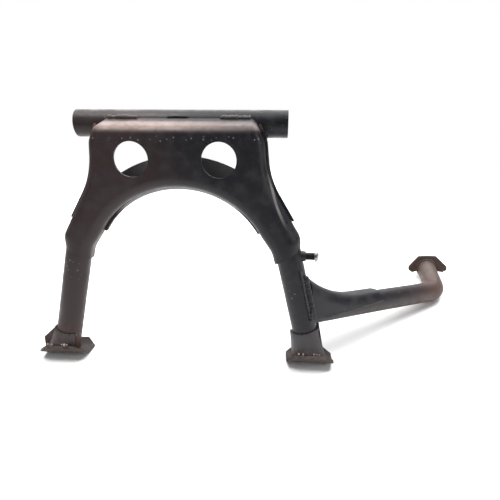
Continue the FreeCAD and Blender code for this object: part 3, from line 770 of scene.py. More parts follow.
@dataclass(frozen=True)
class Specks:
    """Small round specks of spatter: strewn, below the upper bend and in one rubbed ring.

    Args:
        cells: Specks per metre.
        speck: Where a speck begins and is full, in cells.
        areas: Noise of the strewn areas.
        area: Where an area begins and is full.
        bend_z: Height of the specks below the bend.
        bend_y: Depth of them.
        bend_areas: Noise of the areas there.
        bend_area: Where an area there begins and is full.
        ring_centre: Centre of the ring.
        ring: Radius of the ring, with its width.
        ring_flakes: Where the mottle begins and ends to break it up.
        share: Share of the specks.
    """

    cells: float = 230.0
    speck: Span = (0.27, 0.14)
    areas: Noise = Noise(31.0, 2.0)
    area: Span = (0.62, 0.74)
    bend_z: Band = Band(-0.0115, 0.0045, 0.0020)
    bend_y: Span = (-0.030, -0.036)
    bend_areas: Noise = Noise(90.0, 2.0)
    bend_area: Span = (0.42, 0.52)
    ring_centre: Point = (-0.0815, -0.0410, -0.0133)
    ring: Band = Band(0.0045, 0.0020, 0.0010)
    ring_flakes: Span = (0.38, 0.5)
    share: float = 0.65

    def mask(self, paint: PaintShade) -> Value:
        """Give where the specks are, in full strength.

        Args:
            paint: The paint.

        Returns:
            The mask.
        """
        below_bend = paint.z.band(self.bend_z) * paint.y.ramp(*self.bend_y)
        below_bend = below_bend * paint.noise(self.bend_areas).ramp(*self.bend_area)
        ring = paint.away(self.ring_centre).band(self.ring) * paint.mottle.ramp(*self.ring_flakes)
        strewn = paint.noise(self.areas).ramp(*self.area).most(below_bend.most(ring))
        return paint.spots(self.cells).ramp(*self.speck) * strewn


@dataclass(frozen=True)
class PaintFinish:
    """Worn charcoal paint.

    Args:
        cool: Colour towards the lever's side.
        warm: Colour towards the other side.
        dust: Colour of the film of dirt on it.
        dusty: Where the mottle begins and ends to carry dirt.
        dust_share: Largest share of dirt.
        rub: Colour where the paint is scuffed, and of the painted highlight on the rolled edge.
        bend: Colour of the worn upper bend of the front pressing, with its painted highlight.
        rust: Colour of thin rust.
        shine: Strength of its reflections.
        smooth: Roughness where it is smoothest.
        matt: Roughness where it is dullest.
        mottled: Where the mottle is smoothest and dullest.
        rust_matt: Roughness that rust adds.
        rub_matt: Roughness that scuffs and specks add.
        rust_more: Added to the rust mask everywhere.
        rust_from: Height in metres from which the rust of the lower end begins.
        inside: Colour of the painted light on the face inside the box, where the piece has one.
        grain: Noise of its fine grain.
        grain_height: Share of the grain in its relief.
        mottle_height: Share of the mottle in it.
        speck_height: Share of the specks in it.
        rust_height: Share of the rust's specks in it.
        relief: Height of the relief in metres.
        relief_share: Share of its effect.
    """

    cool: Colour = (0.0050, 0.0053, 0.0085)
    warm: Colour = (0.023, 0.0130, 0.0130)
    dust: Colour = (0.028, 0.0245, 0.0255)
    dusty: Span = (0.42, 0.72)
    dust_share: float = 0.45
    # scuff colour, also used for the painted highlight on the rolled edge
    rub: Colour = (0.16, 0.15, 0.145)
    # worn paint with a painted highlight on the upper bend
    bend: Colour = (0.215, 0.150, 0.128)
    rust: Colour = (0.055, 0.028, 0.021)
    shine: float = 0.26
    smooth: float = 0.34
    matt: float = 0.56
    mottled: Span = (0.3, 0.75)
    rust_matt: float = 0.22
    rub_matt: float = 0.1
    rust_more: float = 0.0
    rust_from: float = -0.185
    inside: Optional[Colour] = None
    grain: Noise = Noise(900.0, 3.0, 0.6)
    grain_height: float = 0.25
    mottle_height: float = 0.5
    speck_height: float = 0.6
    rust_height: float = 0.5
    relief: float = 0.00035
    relief_share: float = 0.8

    def coat(self, paint: PaintShade) -> Value:
        """Give the paint's colour with dirt and the painted light inside the box, before it is
        rubbed.

        Args:
            paint: The paint.

        Returns:
            The colour.
        """
        colour = paint.mix(CoolSide().mask(paint), self.warm, self.cool)
        colour = paint.mix(paint.mottle.ramp(*self.dusty, 0.0, self.dust_share), colour, self.dust)
        for mark in (BrownLever(), DullTail()):
            colour = paint.mix(mark.mask(paint), colour, mark.colour)
        # painted light on the face inside the box
        if self.inside is not None:
            colour = paint.mix(InnerFacePaintedLight().mask(paint), colour, self.inside)
        return colour

    def material(self, place: Place) -> bpy.types.Material:
        """Make the paint.

        Args:
            place: Name of the material.

        Returns:
            The material.
        """
        paint = PaintShade(place)
        # upper bend: worn paint with a painted highlight
        colour = paint.mix(BendWearAndHighlight().mask(paint), self.coat(paint), self.bend)
        # painted shade of the gap between the top flange and the pivot tube
        gap = FlangeGapShade()
        gap_shade_mask = gap.mask(paint)
        colour = paint.mix(gap_shade_mask, colour, gap.colour)
        flaked = FlakedSpot()
        colour = paint.mix(flaked.mask(paint), colour, flaked.colour)
        # painted highlight on the rolled edge, in the scuff colour
        colour = paint.mix(EdgePaintedHighlight().mask(paint), colour, self.rub)
        thin_rust = ThinRust()
        rust = thin_rust.mask(paint, self.rust_from, self.rust_more)
        speckle = paint.noise(thin_rust.speckle)
        rust_colour = paint.mix(speckle.ramp(*thin_rust.speckled), self.rust, thin_rust.bright)
        colour = paint.mix(rust, colour, rust_colour)
        spatter = Specks()
        specks = spatter.mask(paint)
        marks = Scuffs().mask(paint).most(spatter.share * specks)
        colour = paint.mix(marks, colour, self.rub)
        rough = paint.mottle.ramp(*self.mottled, self.smooth, self.matt)
        rough = rough + self.rust_matt * rust + self.rub_matt * marks
        # metal without colour hides the reflections on the painted shade of the gap
        paint.set(Base_Color=colour, Roughness=rough, Metallic=gap_shade_mask,
                  Specular_IOR_Level=self.shine)
        relief = self.grain_height * paint.noise(self.grain) + self.mottle_height * paint.mottle
        relief = relief + self.speck_height * specks + self.rust_height * (rust * speckle)
        paint.bump(relief, self.relief, self.relief_share)
        return paint.material


@dataclass(frozen=True)
class RustFinish:
    """Rusted steel with scraped high spots.

    Args:
        colour: Colour of the rust.
        stain: Colour of its dark clouds.
        metallic: Share of metal in its shine.
        fine: Size of its grain, in waves per metre.
        clouds: Noise of the clouds.
        cloudy: Where the clouds begin and end.
        fine_detail: Finer layers of the grain.
        fine_rough: Weight of the finer layers.
        grain: Where the bright grain begins and is full.
        grain_share: Largest share of it.
        bright: Its colour.
        scrapes: Noise of the scrapes.
        scrape: Where a scrape begins and is full.
        scrape_share: Share of the scrapes.
        scraped: Their colour.
        rough_clouds: Where the clouds are smoothest and dullest.
        rough: Roughness in both places.
        scrape_shine: Roughness that a scrape takes off.
        grain_height: Share of the grain in its relief.
        relief: Height of the relief in metres.
        relief_share: Share of its effect.
    """

    colour: Colour
    stain: Colour
    metallic: float
    fine: float
    clouds: Noise = Noise(48.0, 7.0, 0.66)
    cloudy: Span = (0.34, 0.66)
    fine_detail: float = 4.0
    fine_rough: float = 0.65
    grain: Span = (0.45, 0.75)
    grain_share: float = 0.45
    bright: Colour = (0.17, 0.100, 0.078)
    scrapes: Noise = Noise(70.0, 6.0, 0.7, (1.0, 4.0, 1.0), 1.0)
    scrape: Span = (0.64, 0.72)
    scrape_share: float = 0.6
    scraped: Colour = (0.34, 0.29, 0.27)
    rough_clouds: Span = (0.3, 0.7)
    rough: Pair = (0.5, 0.78)
    scrape_shine: float = 0.2
    grain_height: float = 0.5
    relief: float = 0.0006
    relief_share: float = 0.9

    def material(self, place: Place) -> bpy.types.Material:
        """Make the rusted steel.

        Args:
            place: Name of the material.

        Returns:
            The material.
        """
        shade = Shade(place)
        clouds = shade.noise(self.clouds)
        fine = shade.noise(Noise(self.fine, self.fine_detail, self.fine_rough))
        colour = shade.mix(clouds.ramp(*self.cloudy), self.stain, self.colour)
        colour = shade.mix(fine.ramp(*self.grain, 0.0, self.grain_share), colour, self.bright)
        scrape = shade.noise(self.scrapes).ramp(*self.scrape)
        colour = shade.mix(scrape * self.scrape_share, colour, self.scraped)
        rough = clouds.ramp(*self.rough_clouds, *self.rough) - self.scrape_shine * scrape
        shade.set(Base_Color=colour, Roughness=rough, Metallic=self.metallic)
        shade.bump(self.grain_height * fine + clouds, self.relief, self.relief_share)
        return shade.material


@dataclass(frozen=True)
class PinFinish:
    """Stained steel of the spring pin, bright at its outer end.

    Args:
        colour: Colour of the clean metal.
        stain: Colour of its stains.
        clean_from: X in metres from which the metal is polished clean.
        clean_edge: Width of that change in metres.
        stains: Noise of the stains.
        stained: Where a stain begins and is full.
        stain_share: Share of the stains on the polished end.
        rough: Roughness of the clean metal.
        stain_matt: Roughness that stains add.
        grain: Noise of its fine grain.
        relief: Height of the grain in metres.
        relief_share: Share of its effect.
    """

    colour: Colour = (0.30, 0.30, 0.30)
    stain: Colour = (0.016, 0.015, 0.015)
    clean_from: float = 0.1472
    clean_edge: float = 0.0005
    stains: Noise = Noise(900.0, 4.0, 0.6)
    stained: Span = (0.48, 0.66)
    stain_share: float = 0.5
    rough: float = 0.22
    stain_matt: float = 0.35
    grain: Noise = Noise(1800.0, 3.0)
    relief: float = 0.0002
    relief_share: float = 0.7

    def material(self, place: Place) -> bpy.types.Material:
        """Make the steel.

        Args:
            place: Name of the material.

        Returns:
            The material.
        """
        shade = Shade(place)
        stain = shade.noise(self.stains).ramp(*self.stained)
        unpolished = shade.along(0).ramp(self.clean_from, self.clean_from - self.clean_edge)
        stain = (self.stain_share * stain).most(unpolished)
        shade.set(Base_Color=shade.mix(stain, self.colour, self.stain),
                  Roughness=self.stain_matt * stain + self.rough, Metallic=1.0)
        shade.bump(shade.noise(self.grain), self.relief, self.relief_share)
        return shade.material


@dataclass(frozen=True)
class FloorFinish:
    """Pale matt floor that fades into the white surroundings well behind the stand.

    Args:
        colour: Its colour.
        shadow: Colour of its faint clouds.
        clouds: Noise of the clouds.
        cloudy: Where the clouds begin and end.
        cloud_share: Largest share of them.
        rough: Its roughness.
        middle: X and Y in metres of the point that it fades around.
        fade: Distances in metres at which it is gone and at which it is whole.
    """

    colour: Colour = (0.93, 0.93, 0.93)
    shadow: Colour = (0.91, 0.91, 0.91)
    clouds: Noise = Noise(2.0, 2.0)
    cloudy: Span = (0.3, 0.7)
    cloud_share: float = 0.02
    rough: float = 0.9
    middle: Pair = (0.1, 0.1)
    fade: Span = (1.25, 0.85)

    def material(self, place: Place) -> bpy.types.Material:
        """Make the floor.

        Args:
            place: Name of the material.

        Returns:
            The material.
        """
        shade = Shade(place)
        tone = shade.noise(self.clouds).ramp(*self.cloudy, 0.0, self.cloud_share)
        near = shade.away((*self.middle, -STAND.height * MM)).ramp(*self.fade)
        shade.set(Base_Color=shade.mix(tone, self.colour, self.shadow), Roughness=self.rough,
                  Specular_IOR_Level=0.0, Alpha=near)
        return shade.material


FINISHES = {
    Place.PAINT: PaintFinish(),
    Place.WELD: PaintFinish(cool=(0.075, 0.070, 0.070), warm=(0.105, 0.084, 0.078),
                            rub=(0.30, 0.26, 0.24), rust_more=0.06),
    # the pale inside colour is painted light on the rear pressing's inner face
    Place.INNER: PaintFinish(inside=(0.34, 0.34, 0.345)),
    Place.SLEEVE: PaintFinish(cool=(0.042, 0.039, 0.041), warm=(0.046, 0.038, 0.037),
                              rust_from=-0.205),
    Place.RUST: RustFinish((0.021, 0.0125, 0.0100), (0.012, 0.0070, 0.0058), 0.05, 700.0),
    Place.BARE_WELD: RustFinish((0.42, 0.33, 0.30), (0.16, 0.10, 0.08), 0.6, 1100.0),
    Place.STEEL: PinFinish(),
    Place.FLOOR: FloorFinish(),
}


class Materials:
    """All materials of the scene, by place."""

    def __init__(self) -> None:
        """Make every material."""
        self.made = {place: finish.material(place) for place, finish in FINISHES.items()}

    def of(self, place: Place) -> bpy.types.Material:
        """Give the material of a place."""
        return self.made[place]


class GroupSheet:
    """A Geometry Nodes group with named inputs."""

    def __init__(self, name: str) -> None:
        """Start a group that takes geometry in and gives geometry out."""
        self.tree = bpy.data.node_groups.new(name, "GeometryNodeTree")
        for direction in ("INPUT", "OUTPUT"):
            self.tree.interface.new_socket("Geometry", in_out=direction,
                                           socket_type="NodeSocketGeometry")
        self.start = self.tree.nodes.new("NodeGroupInput")
        self.end = self.tree.nodes.new("NodeGroupOutput")

    def ask(self, name: str, kind: str) -> bpy.types.NodeSocket:
        """Add a named input.

        Args:
            name: Its name.
            kind: Its socket type.

        Returns:
            The socket inside the group.
        """
        self.tree.interface.new_socket(name, in_out="INPUT", socket_type=kind)
        return self.start.outputs[name]

    def add(self, kind: str, **settings: object) -> bpy.types.Node:
        """Add a node with attributes.

        Args:
            kind: Type name.
            **settings: Attributes to set.

        Returns:
            The node.
        """
        node = self.tree.nodes.new(kind)
        for name, value in settings.items():
            setattr(node, name, value)
        return node

    def link(self, source: bpy.types.NodeSocket, target: bpy.types.NodeSocket) -> None:
        """Link two sockets.

        Args:
            source: Where the value comes from.
            target: Where it goes.
        """
        self.tree.links.new(source, target)

    def beside_one(self, operation: str, value: bpy.types.NodeSocket) -> bpy.types.NodeSocket:
        """Set a value off against 1.

        Args:
            operation: Name of the Math node's operation.
            value: The value.

        Returns:
            The socket of 1 plus or minus the value.
        """
        node = self.add("ShaderNodeMath", operation=operation)
        node.inputs[0].default_value = 1.0
        self.link(value, node.inputs[1])
        return node.outputs[0]


def bead_group() -> bpy.types.NodeTree:
    """Build the group that lays overlapping drops of weld along a path.

    Returns:
        The node group, with inputs Radius, Spacing, Uneven, Squash, Seed and Material.
    """
    sheet = GroupSheet("weld_bead")
    radius, spacing, uneven, squash = (
        sheet.ask(name, "NodeSocketFloat") for name in ("Radius", "Spacing", "Uneven", "Squash"))
    seed = sheet.ask("Seed", "NodeSocketInt")
    material = sheet.ask("Material", "NodeSocketMaterial")
    to_curve = sheet.add("GeometryNodeMeshToCurve")
    sheet.link(sheet.start.outputs["Geometry"], to_curve.inputs["Mesh"])
    points = sheet.add("GeometryNodeResampleCurve", mode="LENGTH")
    sheet.link(to_curve.outputs["Curve"], points.inputs["Curve"])
    sheet.link(spacing, points.inputs["Length"])
    drop = sheet.add("GeometryNodeMeshIcoSphere")
    drop.inputs["Subdivisions"].default_value = DROP_LEVELS
    sheet.link(radius, drop.inputs["Radius"])
    turn = sheet.add("FunctionNodeAlignRotationToVector", axis="Z")
    sheet.link(sheet.add("GeometryNodeInputTangent").outputs[0], turn.inputs["Vector"])
    width = sheet.add("FunctionNodeRandomValue", data_type="FLOAT")
    # on this node the second pair of inputs and the second output carry plain numbers
    sheet.link(sheet.beside_one("SUBTRACT", uneven), width.inputs[2])
    sheet.link(sheet.beside_one("ADD", uneven), width.inputs[3])
    sheet.link(seed, width.inputs["Seed"])
    scale = sheet.add("ShaderNodeCombineXYZ")
    for slot in (0, 1):
        sheet.link(width.outputs[1], scale.inputs[slot])
    sheet.link(squash, scale.inputs[2])
    lay = sheet.add("GeometryNodeInstanceOnPoints")
    sheet.link(points.outputs["Curve"], lay.inputs["Points"])
    sheet.link(drop.outputs["Mesh"], lay.inputs["Instance"])
    sheet.link(turn.outputs[0], lay.inputs["Rotation"])
    sheet.link(scale.outputs[0], lay.inputs["Scale"])
    real = sheet.add("GeometryNodeRealizeInstances")
    sheet.link(lay.outputs["Instances"], real.inputs["Geometry"])
    smooth = sheet.add("GeometryNodeSetShadeSmooth")
    sheet.link(real.outputs["Geometry"], smooth.inputs["Geometry"])
    coat = sheet.add("GeometryNodeSetMaterial")
    sheet.link(smooth.outputs[0], coat.inputs["Geometry"])
    sheet.link(material, coat.inputs["Material"])
    sheet.link(coat.outputs["Geometry"], sheet.end.inputs["Geometry"])
    return sheet.tree


@dataclass(frozen=True)
class Bead:
    """Form of a weld bead.

    Args:
        radius: Its radius in millimetres.
        place: Its material.
        uneven: How much its drops vary.
        apart: Distance between drops, in radii.
        squash: Length of a drop along the path, as a share of its width.
    """

    radius: float
    place: Place = Place.WELD
    uneven: float = 0.25
    apart: float = 0.7
    squash: float = 0.62


class Workshop:
    """Makes the added pieces and ties them to the frame."""

    def __init__(self, materials: Materials) -> None:
        """Set up the workshop with its materials and its bead."""
        self.materials = materials
        self.bead = bead_group()

    def run_group(self, name: str, mesh: bpy.types.Mesh, group: bpy.types.NodeTree,
                  inputs: dict[str, object]) -> bpy.types.Object:
        """Run a Geometry Nodes group on a mesh and keep the result as a plain mesh.

        Args:
            name: Name of the piece.
            mesh: What goes in.
            group: The group.
            inputs: Values of its named inputs.

        Returns:
            The finished object, at the origin.
        """
        source = bpy.data.objects.new(name + "_source", mesh)
        bpy.context.scene.collection.objects.link(source)
        modifier = source.modifiers.new("build", "NODES")
        modifier.node_group = group
        sockets = {item.name: item.identifier for item in group.interface.items_tree
                   if item.in_out == "INPUT"}
        for key, value in inputs.items():
            modifier[sockets[key]] = value
        bpy.context.view_layer.update()
        evaluated = source.evaluated_get(bpy.context.evaluated_depsgraph_get())
        plain = bpy.data.meshes.new_from_object(evaluated)
        source.modifiers.clear()
        bpy.data.objects.remove(source)
        made = bpy.data.objects.new(name, plain)
        bpy.context.scene.collection.objects.link(made)
        return made

    def weld(self, name: str, path: Sequence[Vector], bead: Bead, seed: int,
             stands_for: Optional[str] = None) -> bpy.types.Object:
        """Lay a weld bead along a path.

        Args:
            name: Name of the piece.
            path: Points in the row frame.
            bead: Its form.
            seed: Seed of its unevenness.
            stands_for: CAD node that it replaces, if any.

        Returns:
            The bead.
        """
        mesh = bpy.data.meshes.new(name + "_path")
        mesh.from_pydata(path, [(n, n + 1) for n in range(len(path) - 1)], [])
        made = self.run_group(name, mesh, self.bead, {
            "Radius": bead.radius * MM, "Spacing": bead.radius * MM * bead.apart,
            "Uneven": bead.uneven, "Squash": bead.squash, "Seed": seed,
            "Material": self.materials.of(bead.place)})
        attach(made, ROOT)
        if stands_for is not None:
            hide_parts(stands_for)
        return made


def straight(start: Sequence[float], end: Sequence[float]) -> list[Vector]:
    """Give the two ends of a straight bead.

    Args:
        start: Start in the upright stand, in millimetres.
        end: End in the upright stand, in millimetres.

    Returns:
        Its points in the row frame.
    """
    return [STAND.rest(start), STAND.rest(end)]


@dataclass(frozen=True)
class Ring:
    """Ring of the upright stand that a bead follows.

    Args:
        centre: Its centre, in millimetres.
        axis: Direction of its axis.
        start: Direction that angles are measured from.
        radius: Its radius in millimetres.
        points: Number of points on an arc of it.
    """

    centre: Vector
    axis: Vector
    start: Vector
    radius: float
    points: int = 33

    def arc(self, first: float, last: float) -> list[Vector]:
        """Give the points of an arc.

        Args:
            first: First angle in degrees.
            last: Last angle in degrees.

        Returns:
            Its points in the row frame.
        """
        across = (self.start - self.axis * self.start.dot(self.axis)).normalized()
        up = self.axis.cross(across)
        found = []
        for step in range(self.points):
            angle = math.radians(first + (last - first) * step / (self.points - 1))
            out = across * math.cos(angle) + up * math.sin(angle)
            found.append(STAND.rest(self.centre + out * self.radius))
        return found


# Added pieces. Their sizes are in millimetres of the upright stand.


@dataclass(frozen=True)
class PlateWelds:
    """Beads between both pressings and the pivot tube.

    Args:
        bead: Form of the beads.
        top_inner: Distance from the middle at which a top bead starts.
        top_outer: Distance at which it ends.
        top_forward: How far it lies in front of the tube's surface.
        top_above: How far it lies above the line where the flange meets the tube.
        rear_inner: Distance from the middle at which a rear bead starts.
        rear_outer: Distance at which it ends.
        top_seed: Seed of the left top bead; the right one's is the next.
        rear_seed: Seed of the left rear bead; the right one's is the next.
    """

    bead: Bead = Bead(2.6)
    top_inner: float = 45.0
    top_outer: float = 74.0
    top_forward: float = 0.5
    top_above: float = 0.3
    rear_inner: float = 80.0
    rear_outer: float = 92.0
    top_seed: int = 1
    rear_seed: int = 3

    def lay(self, shop: Workshop) -> list[bpy.types.Object]:
        """Lay the beads on both sides.

        Args:
            shop: The workshop.

        Returns:
            The beads.
        """
        front = -math.sqrt(STAND.pivot_radius ** 2 - STAND.flange_meet ** 2) - self.top_forward
        above = STAND.flange_meet + self.top_above
        back = STAND.leg_radius + STAND.sheet - STAND.leg_forward
        under = -math.sqrt(STAND.pivot_radius ** 2 - back ** 2)
        made = []
        for number, side in enumerate(Side):
            top = [(side.value * x, front, above) for x in (self.top_inner, self.top_outer)]
            made.append(shop.weld(side.label + "_top_bead", straight(*top), self.bead,
                                  self.top_seed + number, side.label + "_top_weld"))
            rear = [(side.value * x, back, under) for x in (self.rear_inner, self.rear_outer)]
            made.append(shop.weld(side.label + "_rear_bead", straight(*rear), self.bead,
                                  self.rear_seed + number, side.label + "_rear_weld"))
        return made


@dataclass(frozen=True)
class SaddleLegWelds:
    """Bead between the saddle and the leg, with the smooth fill beside it.

    Args:
        bead: Form of the bead.
        top: Depth below the pivot at which it starts.
        bottom: Depth at which it ends.
        proud: How far its middle lies off the leg's surface.
        seed: Its seed.
        fill: Form of the fill.
        fill_top: Depth at which the fill starts.
        fill_bottom: Depth at which it ends.
        fill_share: Distance of the fill from the leg's axis, as a share of the bead's.
        fill_out: How far it lies along the lever.
        fill_seed: Its seed.
    """

    bead: Bead = Bead(1.5, Place.SLEEVE, 0.35)
    top: float = 156.0
    bottom: float = 210.0
    proud: float = 0.6
    seed: int = 11
    fill: Bead = Bead(4.0, Place.PAINT, 0.08, 0.35, 0.9)
    fill_top: float = 164.0
    fill_bottom: float = 209.0
    fill_share: float = 0.93
    fill_out: float = 5.4
    fill_seed: int = 12

    def lay(self, shop: Workshop) -> list[bpy.types.Object]:
        """Lay the bead and the fill on the front of the leg.

        Args:
            shop: The workshop.

        Returns:
            Both pieces.
        """
        run = STAND.lever().run
        beside = STAND.leg_down(Side.RIGHT).cross(run).normalized()
        beside = beside * (STAND.leg_radius + self.proud)
        if beside.y > 0:
            beside.negate()
        beside_fill = beside * self.fill_share + run * self.fill_out
        path = [STAND.leg(Side.RIGHT, drop) + beside for drop in (self.top, self.bottom)]
        fill_path = [STAND.leg(Side.RIGHT, drop) + beside_fill
                     for drop in (self.fill_top, self.fill_bottom)]
        return [shop.weld("saddle_leg_bead", straight(*path), self.bead, self.seed,
                          "saddle_leg_weld"),
                shop.weld("saddle_leg_fill", straight(*fill_path), self.fill, self.fill_seed)]


@dataclass(frozen=True)
class PadWeld:
    """Bead round the lever behind its pad; it stops short of the ground on both sides.

    Args:
        bead: Form of the bead.
        before_end: Distance from the end of the tail.
        proud: How far its middle lies off the lever's surface.
        reach: Angle to either side of the top, in degrees.
        seed: Its seed.
    """

    bead: Bead = Bead(2.0)
    before_end: float = 2.0
    proud: float = 0.6
    reach: float = 138.0
    seed: int = 21

    def lay(self, shop: Workshop) -> list[bpy.types.Object]:
        """Lay the bead.

        Args:
            shop: The workshop.

        Returns:
            The bead.
        """
        lever = STAND.lever()
        end = lever.corner + lever.tail * (STAND.lever_tail - self.before_end)
        ring = Ring(end, lever.tail, UPWARDS, STAND.leg_radius + self.proud)
        return [shop.weld("pad_bead", ring.arc(-self.reach, self.reach), self.bead, self.seed)]


@dataclass(frozen=True)
class SaddleEdgeWelds:
    """Beads along the saddle's sides and round its far end.

    Args:
        bead: Form of the beads along the sides.
        start: Distance along the lever at which they start.
        proud: How far they lie off the saddle's surface.
        tuck: How far they start above the skirt's edge.
        seed: Seed of the front one; the back one's is the next.
        end_bead: Form of the bead at the end.
        beyond: How far it lies past the end.
        end_proud: How far it lies off the lever's surface.
        reach: Angle to either side of the top, in degrees.
        end_seed: Its seed.
    """

    bead: Bead = Bead(0.9, Place.SLEEVE, 0.4)
    start: float = 24.0
    proud: float = 0.3
    tuck: float = 1.0
    seed: int = 41
    end_bead: Bead = Bead(1.5)
    beyond: float = 0.6
    end_proud: float = 0.9
    reach: float = 75.0
    end_seed: int = 43

    def lay(self, shop: Workshop) -> list[bpy.types.Object]:
        """Lay the beads.

        Args:
            shop: The workshop.

        Returns:
            The beads.
        """
        lever = STAND.lever()
        run = lever.run
        leg_up = -STAND.leg_down(Side.RIGHT)
        up = (leg_up - run * leg_up.dot(run)).normalized()
        outside = STAND.leg_radius + STAND.sheet + self.proud
        made = []
        for number, (name, sign) in enumerate((("front", -1), ("back", 1))):
            across = run.cross(up) * (outside if run.cross(up).y * sign > 0 else -outside)
            start = lever.root + run * self.start + across - up * (STAND.saddle_skirt - self.tuck)
            end = lever.root + run * STAND.saddle_long + across + up * STAND.saddle_tip
            made.append(shop.weld("saddle_%s_bead" % name, straight(start, end), self.bead,
                                  self.seed + number))
        centre = lever.root + run * (STAND.saddle_long + self.beyond)
        ring = Ring(centre, run, up, STAND.leg_radius + self.end_proud)
        made.append(shop.weld("saddle_end_bead", ring.arc(-self.reach, self.reach), self.end_bead,
                              self.end_seed))
        return made


@dataclass(frozen=True)
class BossFillets:
    """Smooth rings through which the spring pin's boss runs into the leg.

    Args:
        fillet: Form of the rings.
        rings: X and radius of each.
        drop: Depth of the boss below the pivot.
        seed: Seed of the first one; the other's is the next.
    """

    fillet: Bead = Bead(2.6, Place.PAINT, 0.06, 0.4, 1.0)
    rings: tuple[Pair, ...] = ((129.5, 6.6), (127.0, 8.6))
    drop: float = 139.0
    seed: int = 61

    def lay(self, shop: Workshop) -> list[bpy.types.Object]:
        """Lay the rings.

        Args:
            shop: The workshop.

        Returns:
            The rings.
        """
        made = []
        for number, (x, radius) in enumerate(self.rings):
            ring = Ring(Vector((x, -STAND.leg_forward, -self.drop)), PLUS_X, UPWARDS, radius)
            made.append(shop.weld("boss_fillet_%d" % number, ring.arc(0, 360), self.fillet,
                                  self.seed + number))
        return made


@dataclass(frozen=True)
class SleeveWelds:
    """Beads on top of the sleeves.

    Args:
        bead: Form of the beads.
        left: Depth of the left one below the pivot, with its first and last angle in degrees.
        right: The same of the right one.
        proud: How far they lie off the leg's surface.
        seed: Number that lies between the left one's seed and the right one's.
    """

    bead: Bead = Bead(2.1, Place.SLEEVE, 0.2, 0.5)
    left: tuple[float, float, float] = (239.5, 40.0, 205.0)
    right: tuple[float, float, float] = (229.0, -5.0, 185.0)
    proud: float = 0.9
    seed: int = 65

    def lay(self, shop: Workshop) -> list[bpy.types.Object]:
        """Lay the beads.

        Args:
            shop: The workshop.

        Returns:
            The beads.
        """
        made = []
        for side, (drop, first, last) in ((Side.LEFT, self.left), (Side.RIGHT, self.right)):
            ring = Ring(STAND.leg(side, drop), STAND.leg_down(side), PLUS_X,
                        STAND.leg_radius + self.proud)
            made.append(shop.weld(side.label + "_sleeve_bead", ring.arc(first, last), self.bead,
                                  self.seed + side.value))
        return made


@dataclass(frozen=True)
class FootWelds:
    """Bright specks of weld on the soles.

    Args:
        bead: Form of the specks.
        drop: Depth of the soles below the pivot, to find the middle of each.
        spans: Where each speck starts and ends, from the middle of its sole towards +X.
        start_y: Y of its start.
        end_y: Y of its end.
        z: Its height.
        seed: Seed of the first one on the left; the right one's is the next.
        seed_step: From the first one's seed to the second one's.
    """

    bead: Bead = Bead(1.1, Place.BARE_WELD, 0.5, 2.4, 1.0)
    drop: float = 252.0
    spans: tuple[Pair, ...] = ((-13.0, -8.0), (4.0, 10.0))
    start_y: float = -47.2
    end_y: float = -47.6
    z: float = -247.3
    seed: int = 31
    seed_step: int = 2

    def lay(self, shop: Workshop) -> list[bpy.types.Object]:
        """Lay the specks.

        Args:
            shop: The workshop.

        Returns:
            The specks.
        """
        made = []
        for seed, side in enumerate(Side, start=self.seed):
            middle = STAND.leg(side, self.drop).x
            for number, (first, last) in enumerate(self.spans):
                path = straight((middle + first, self.start_y, self.z),
                                (middle + last, self.end_y, self.z))
                made.append(shop.weld("%s_foot_bead_%d" % (side.label, number), path, self.bead,
                                      seed + self.seed_step * number))
        return made


ADDED = (PlateWelds(), SaddleLegWelds(), PadWeld(), SaddleEdgeWelds(), BossFillets(),
         SleeveWelds(), FootWelds())


@dataclass(frozen=True)
class FrameCoats:
    """Materials of the CAD nodes.

    Args:
        by_name: Material of the nodes that go by name.
        sleeve: How the names of sleeves end.
    """

    by_name: tuple[tuple[str, Place], ...] = (
        ("left_foot_plate", Place.RUST), ("right_foot_plate", Place.RUST),
        ("rear_pressing", Place.INNER), ("spring_pin", Place.STEEL))
    sleeve: str = "_sleeve"

    def place_of(self, name: str) -> Place:
        """Choose the material of a node.

        Args:
            name: Name of the node.

        Returns:
            Its place.
        """
        if name.endswith(self.sleeve):
            return Place.SLEEVE
        return dict(self.by_name).get(name, Place.PAINT)

    def dress(self, materials: Materials) -> None:
        """Give every CAD node its material.

        Args:
            materials: The materials.
        """
        for name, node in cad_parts.items():
            place = self.place_of(name)
            node.data.materials.clear()
            node.data.materials.append(materials.of(place))
            log.info("%s: %s", name, place.value)


@dataclass(frozen=True)
class Lamp:
    """Soft square light.

    Args:
        name: Its name.
        at: Its place in metres.
        aim: Point that it faces.
        size: Length of its sides in metres.
        power: Power in watts.
    """

    name: str
    at: Point
    aim: Point
    size: float
    power: float

    def hang(self) -> None:
        """Add the light to the scene."""
        data = bpy.data.lights.new(self.name, "AREA")
        data.shape = "SQUARE"
        data.size = self.size
        data.energy = self.power
        made = bpy.data.objects.new(self.name, data)
        made.location = self.at
        towards = Vector(self.aim) - Vector(self.at)
        made.rotation_euler = towards.to_track_quat("-Z", "Y").to_euler()
        bpy.context.scene.collection.objects.link(made)


@dataclass(frozen=True)
class PhotoCamera:
    """Camera at the photograph's viewing angle.

    Args:
        lens: Focal length in millimetres.
        sensor: Width of its sensor in millimetres.
        shift: Sideways shift, as a share of the frame.
        at: Its place in metres.
        tilt: Turn about X in degrees.
        heading: Turn about Z in degrees.
        nearest: Distance from which it sees, in metres.
    """

    lens: float = 28.98
    sensor: float = 36.0
    shift: float = 0.0012
    at: Point = (0.1019, -0.4470, 0.0380)
    tilt: float = 67.76
    heading: float = 3.70
    nearest: float = 0.01

    def place(self) -> None:
        """Add the camera and make it the scene's own."""
        data = bpy.data.cameras.new("photo")
        data.lens = self.lens
        data.shift_x = self.shift
        data.sensor_width = self.sensor
        data.clip_start = self.nearest
        made = bpy.data.objects.new("photo", data)
        made.location = self.at
        made.rotation_euler = (math.radians(self.tilt), 0.0, math.radians(self.heading))
        bpy.context.scene.collection.objects.link(made)
        bpy.context.scene.camera = made


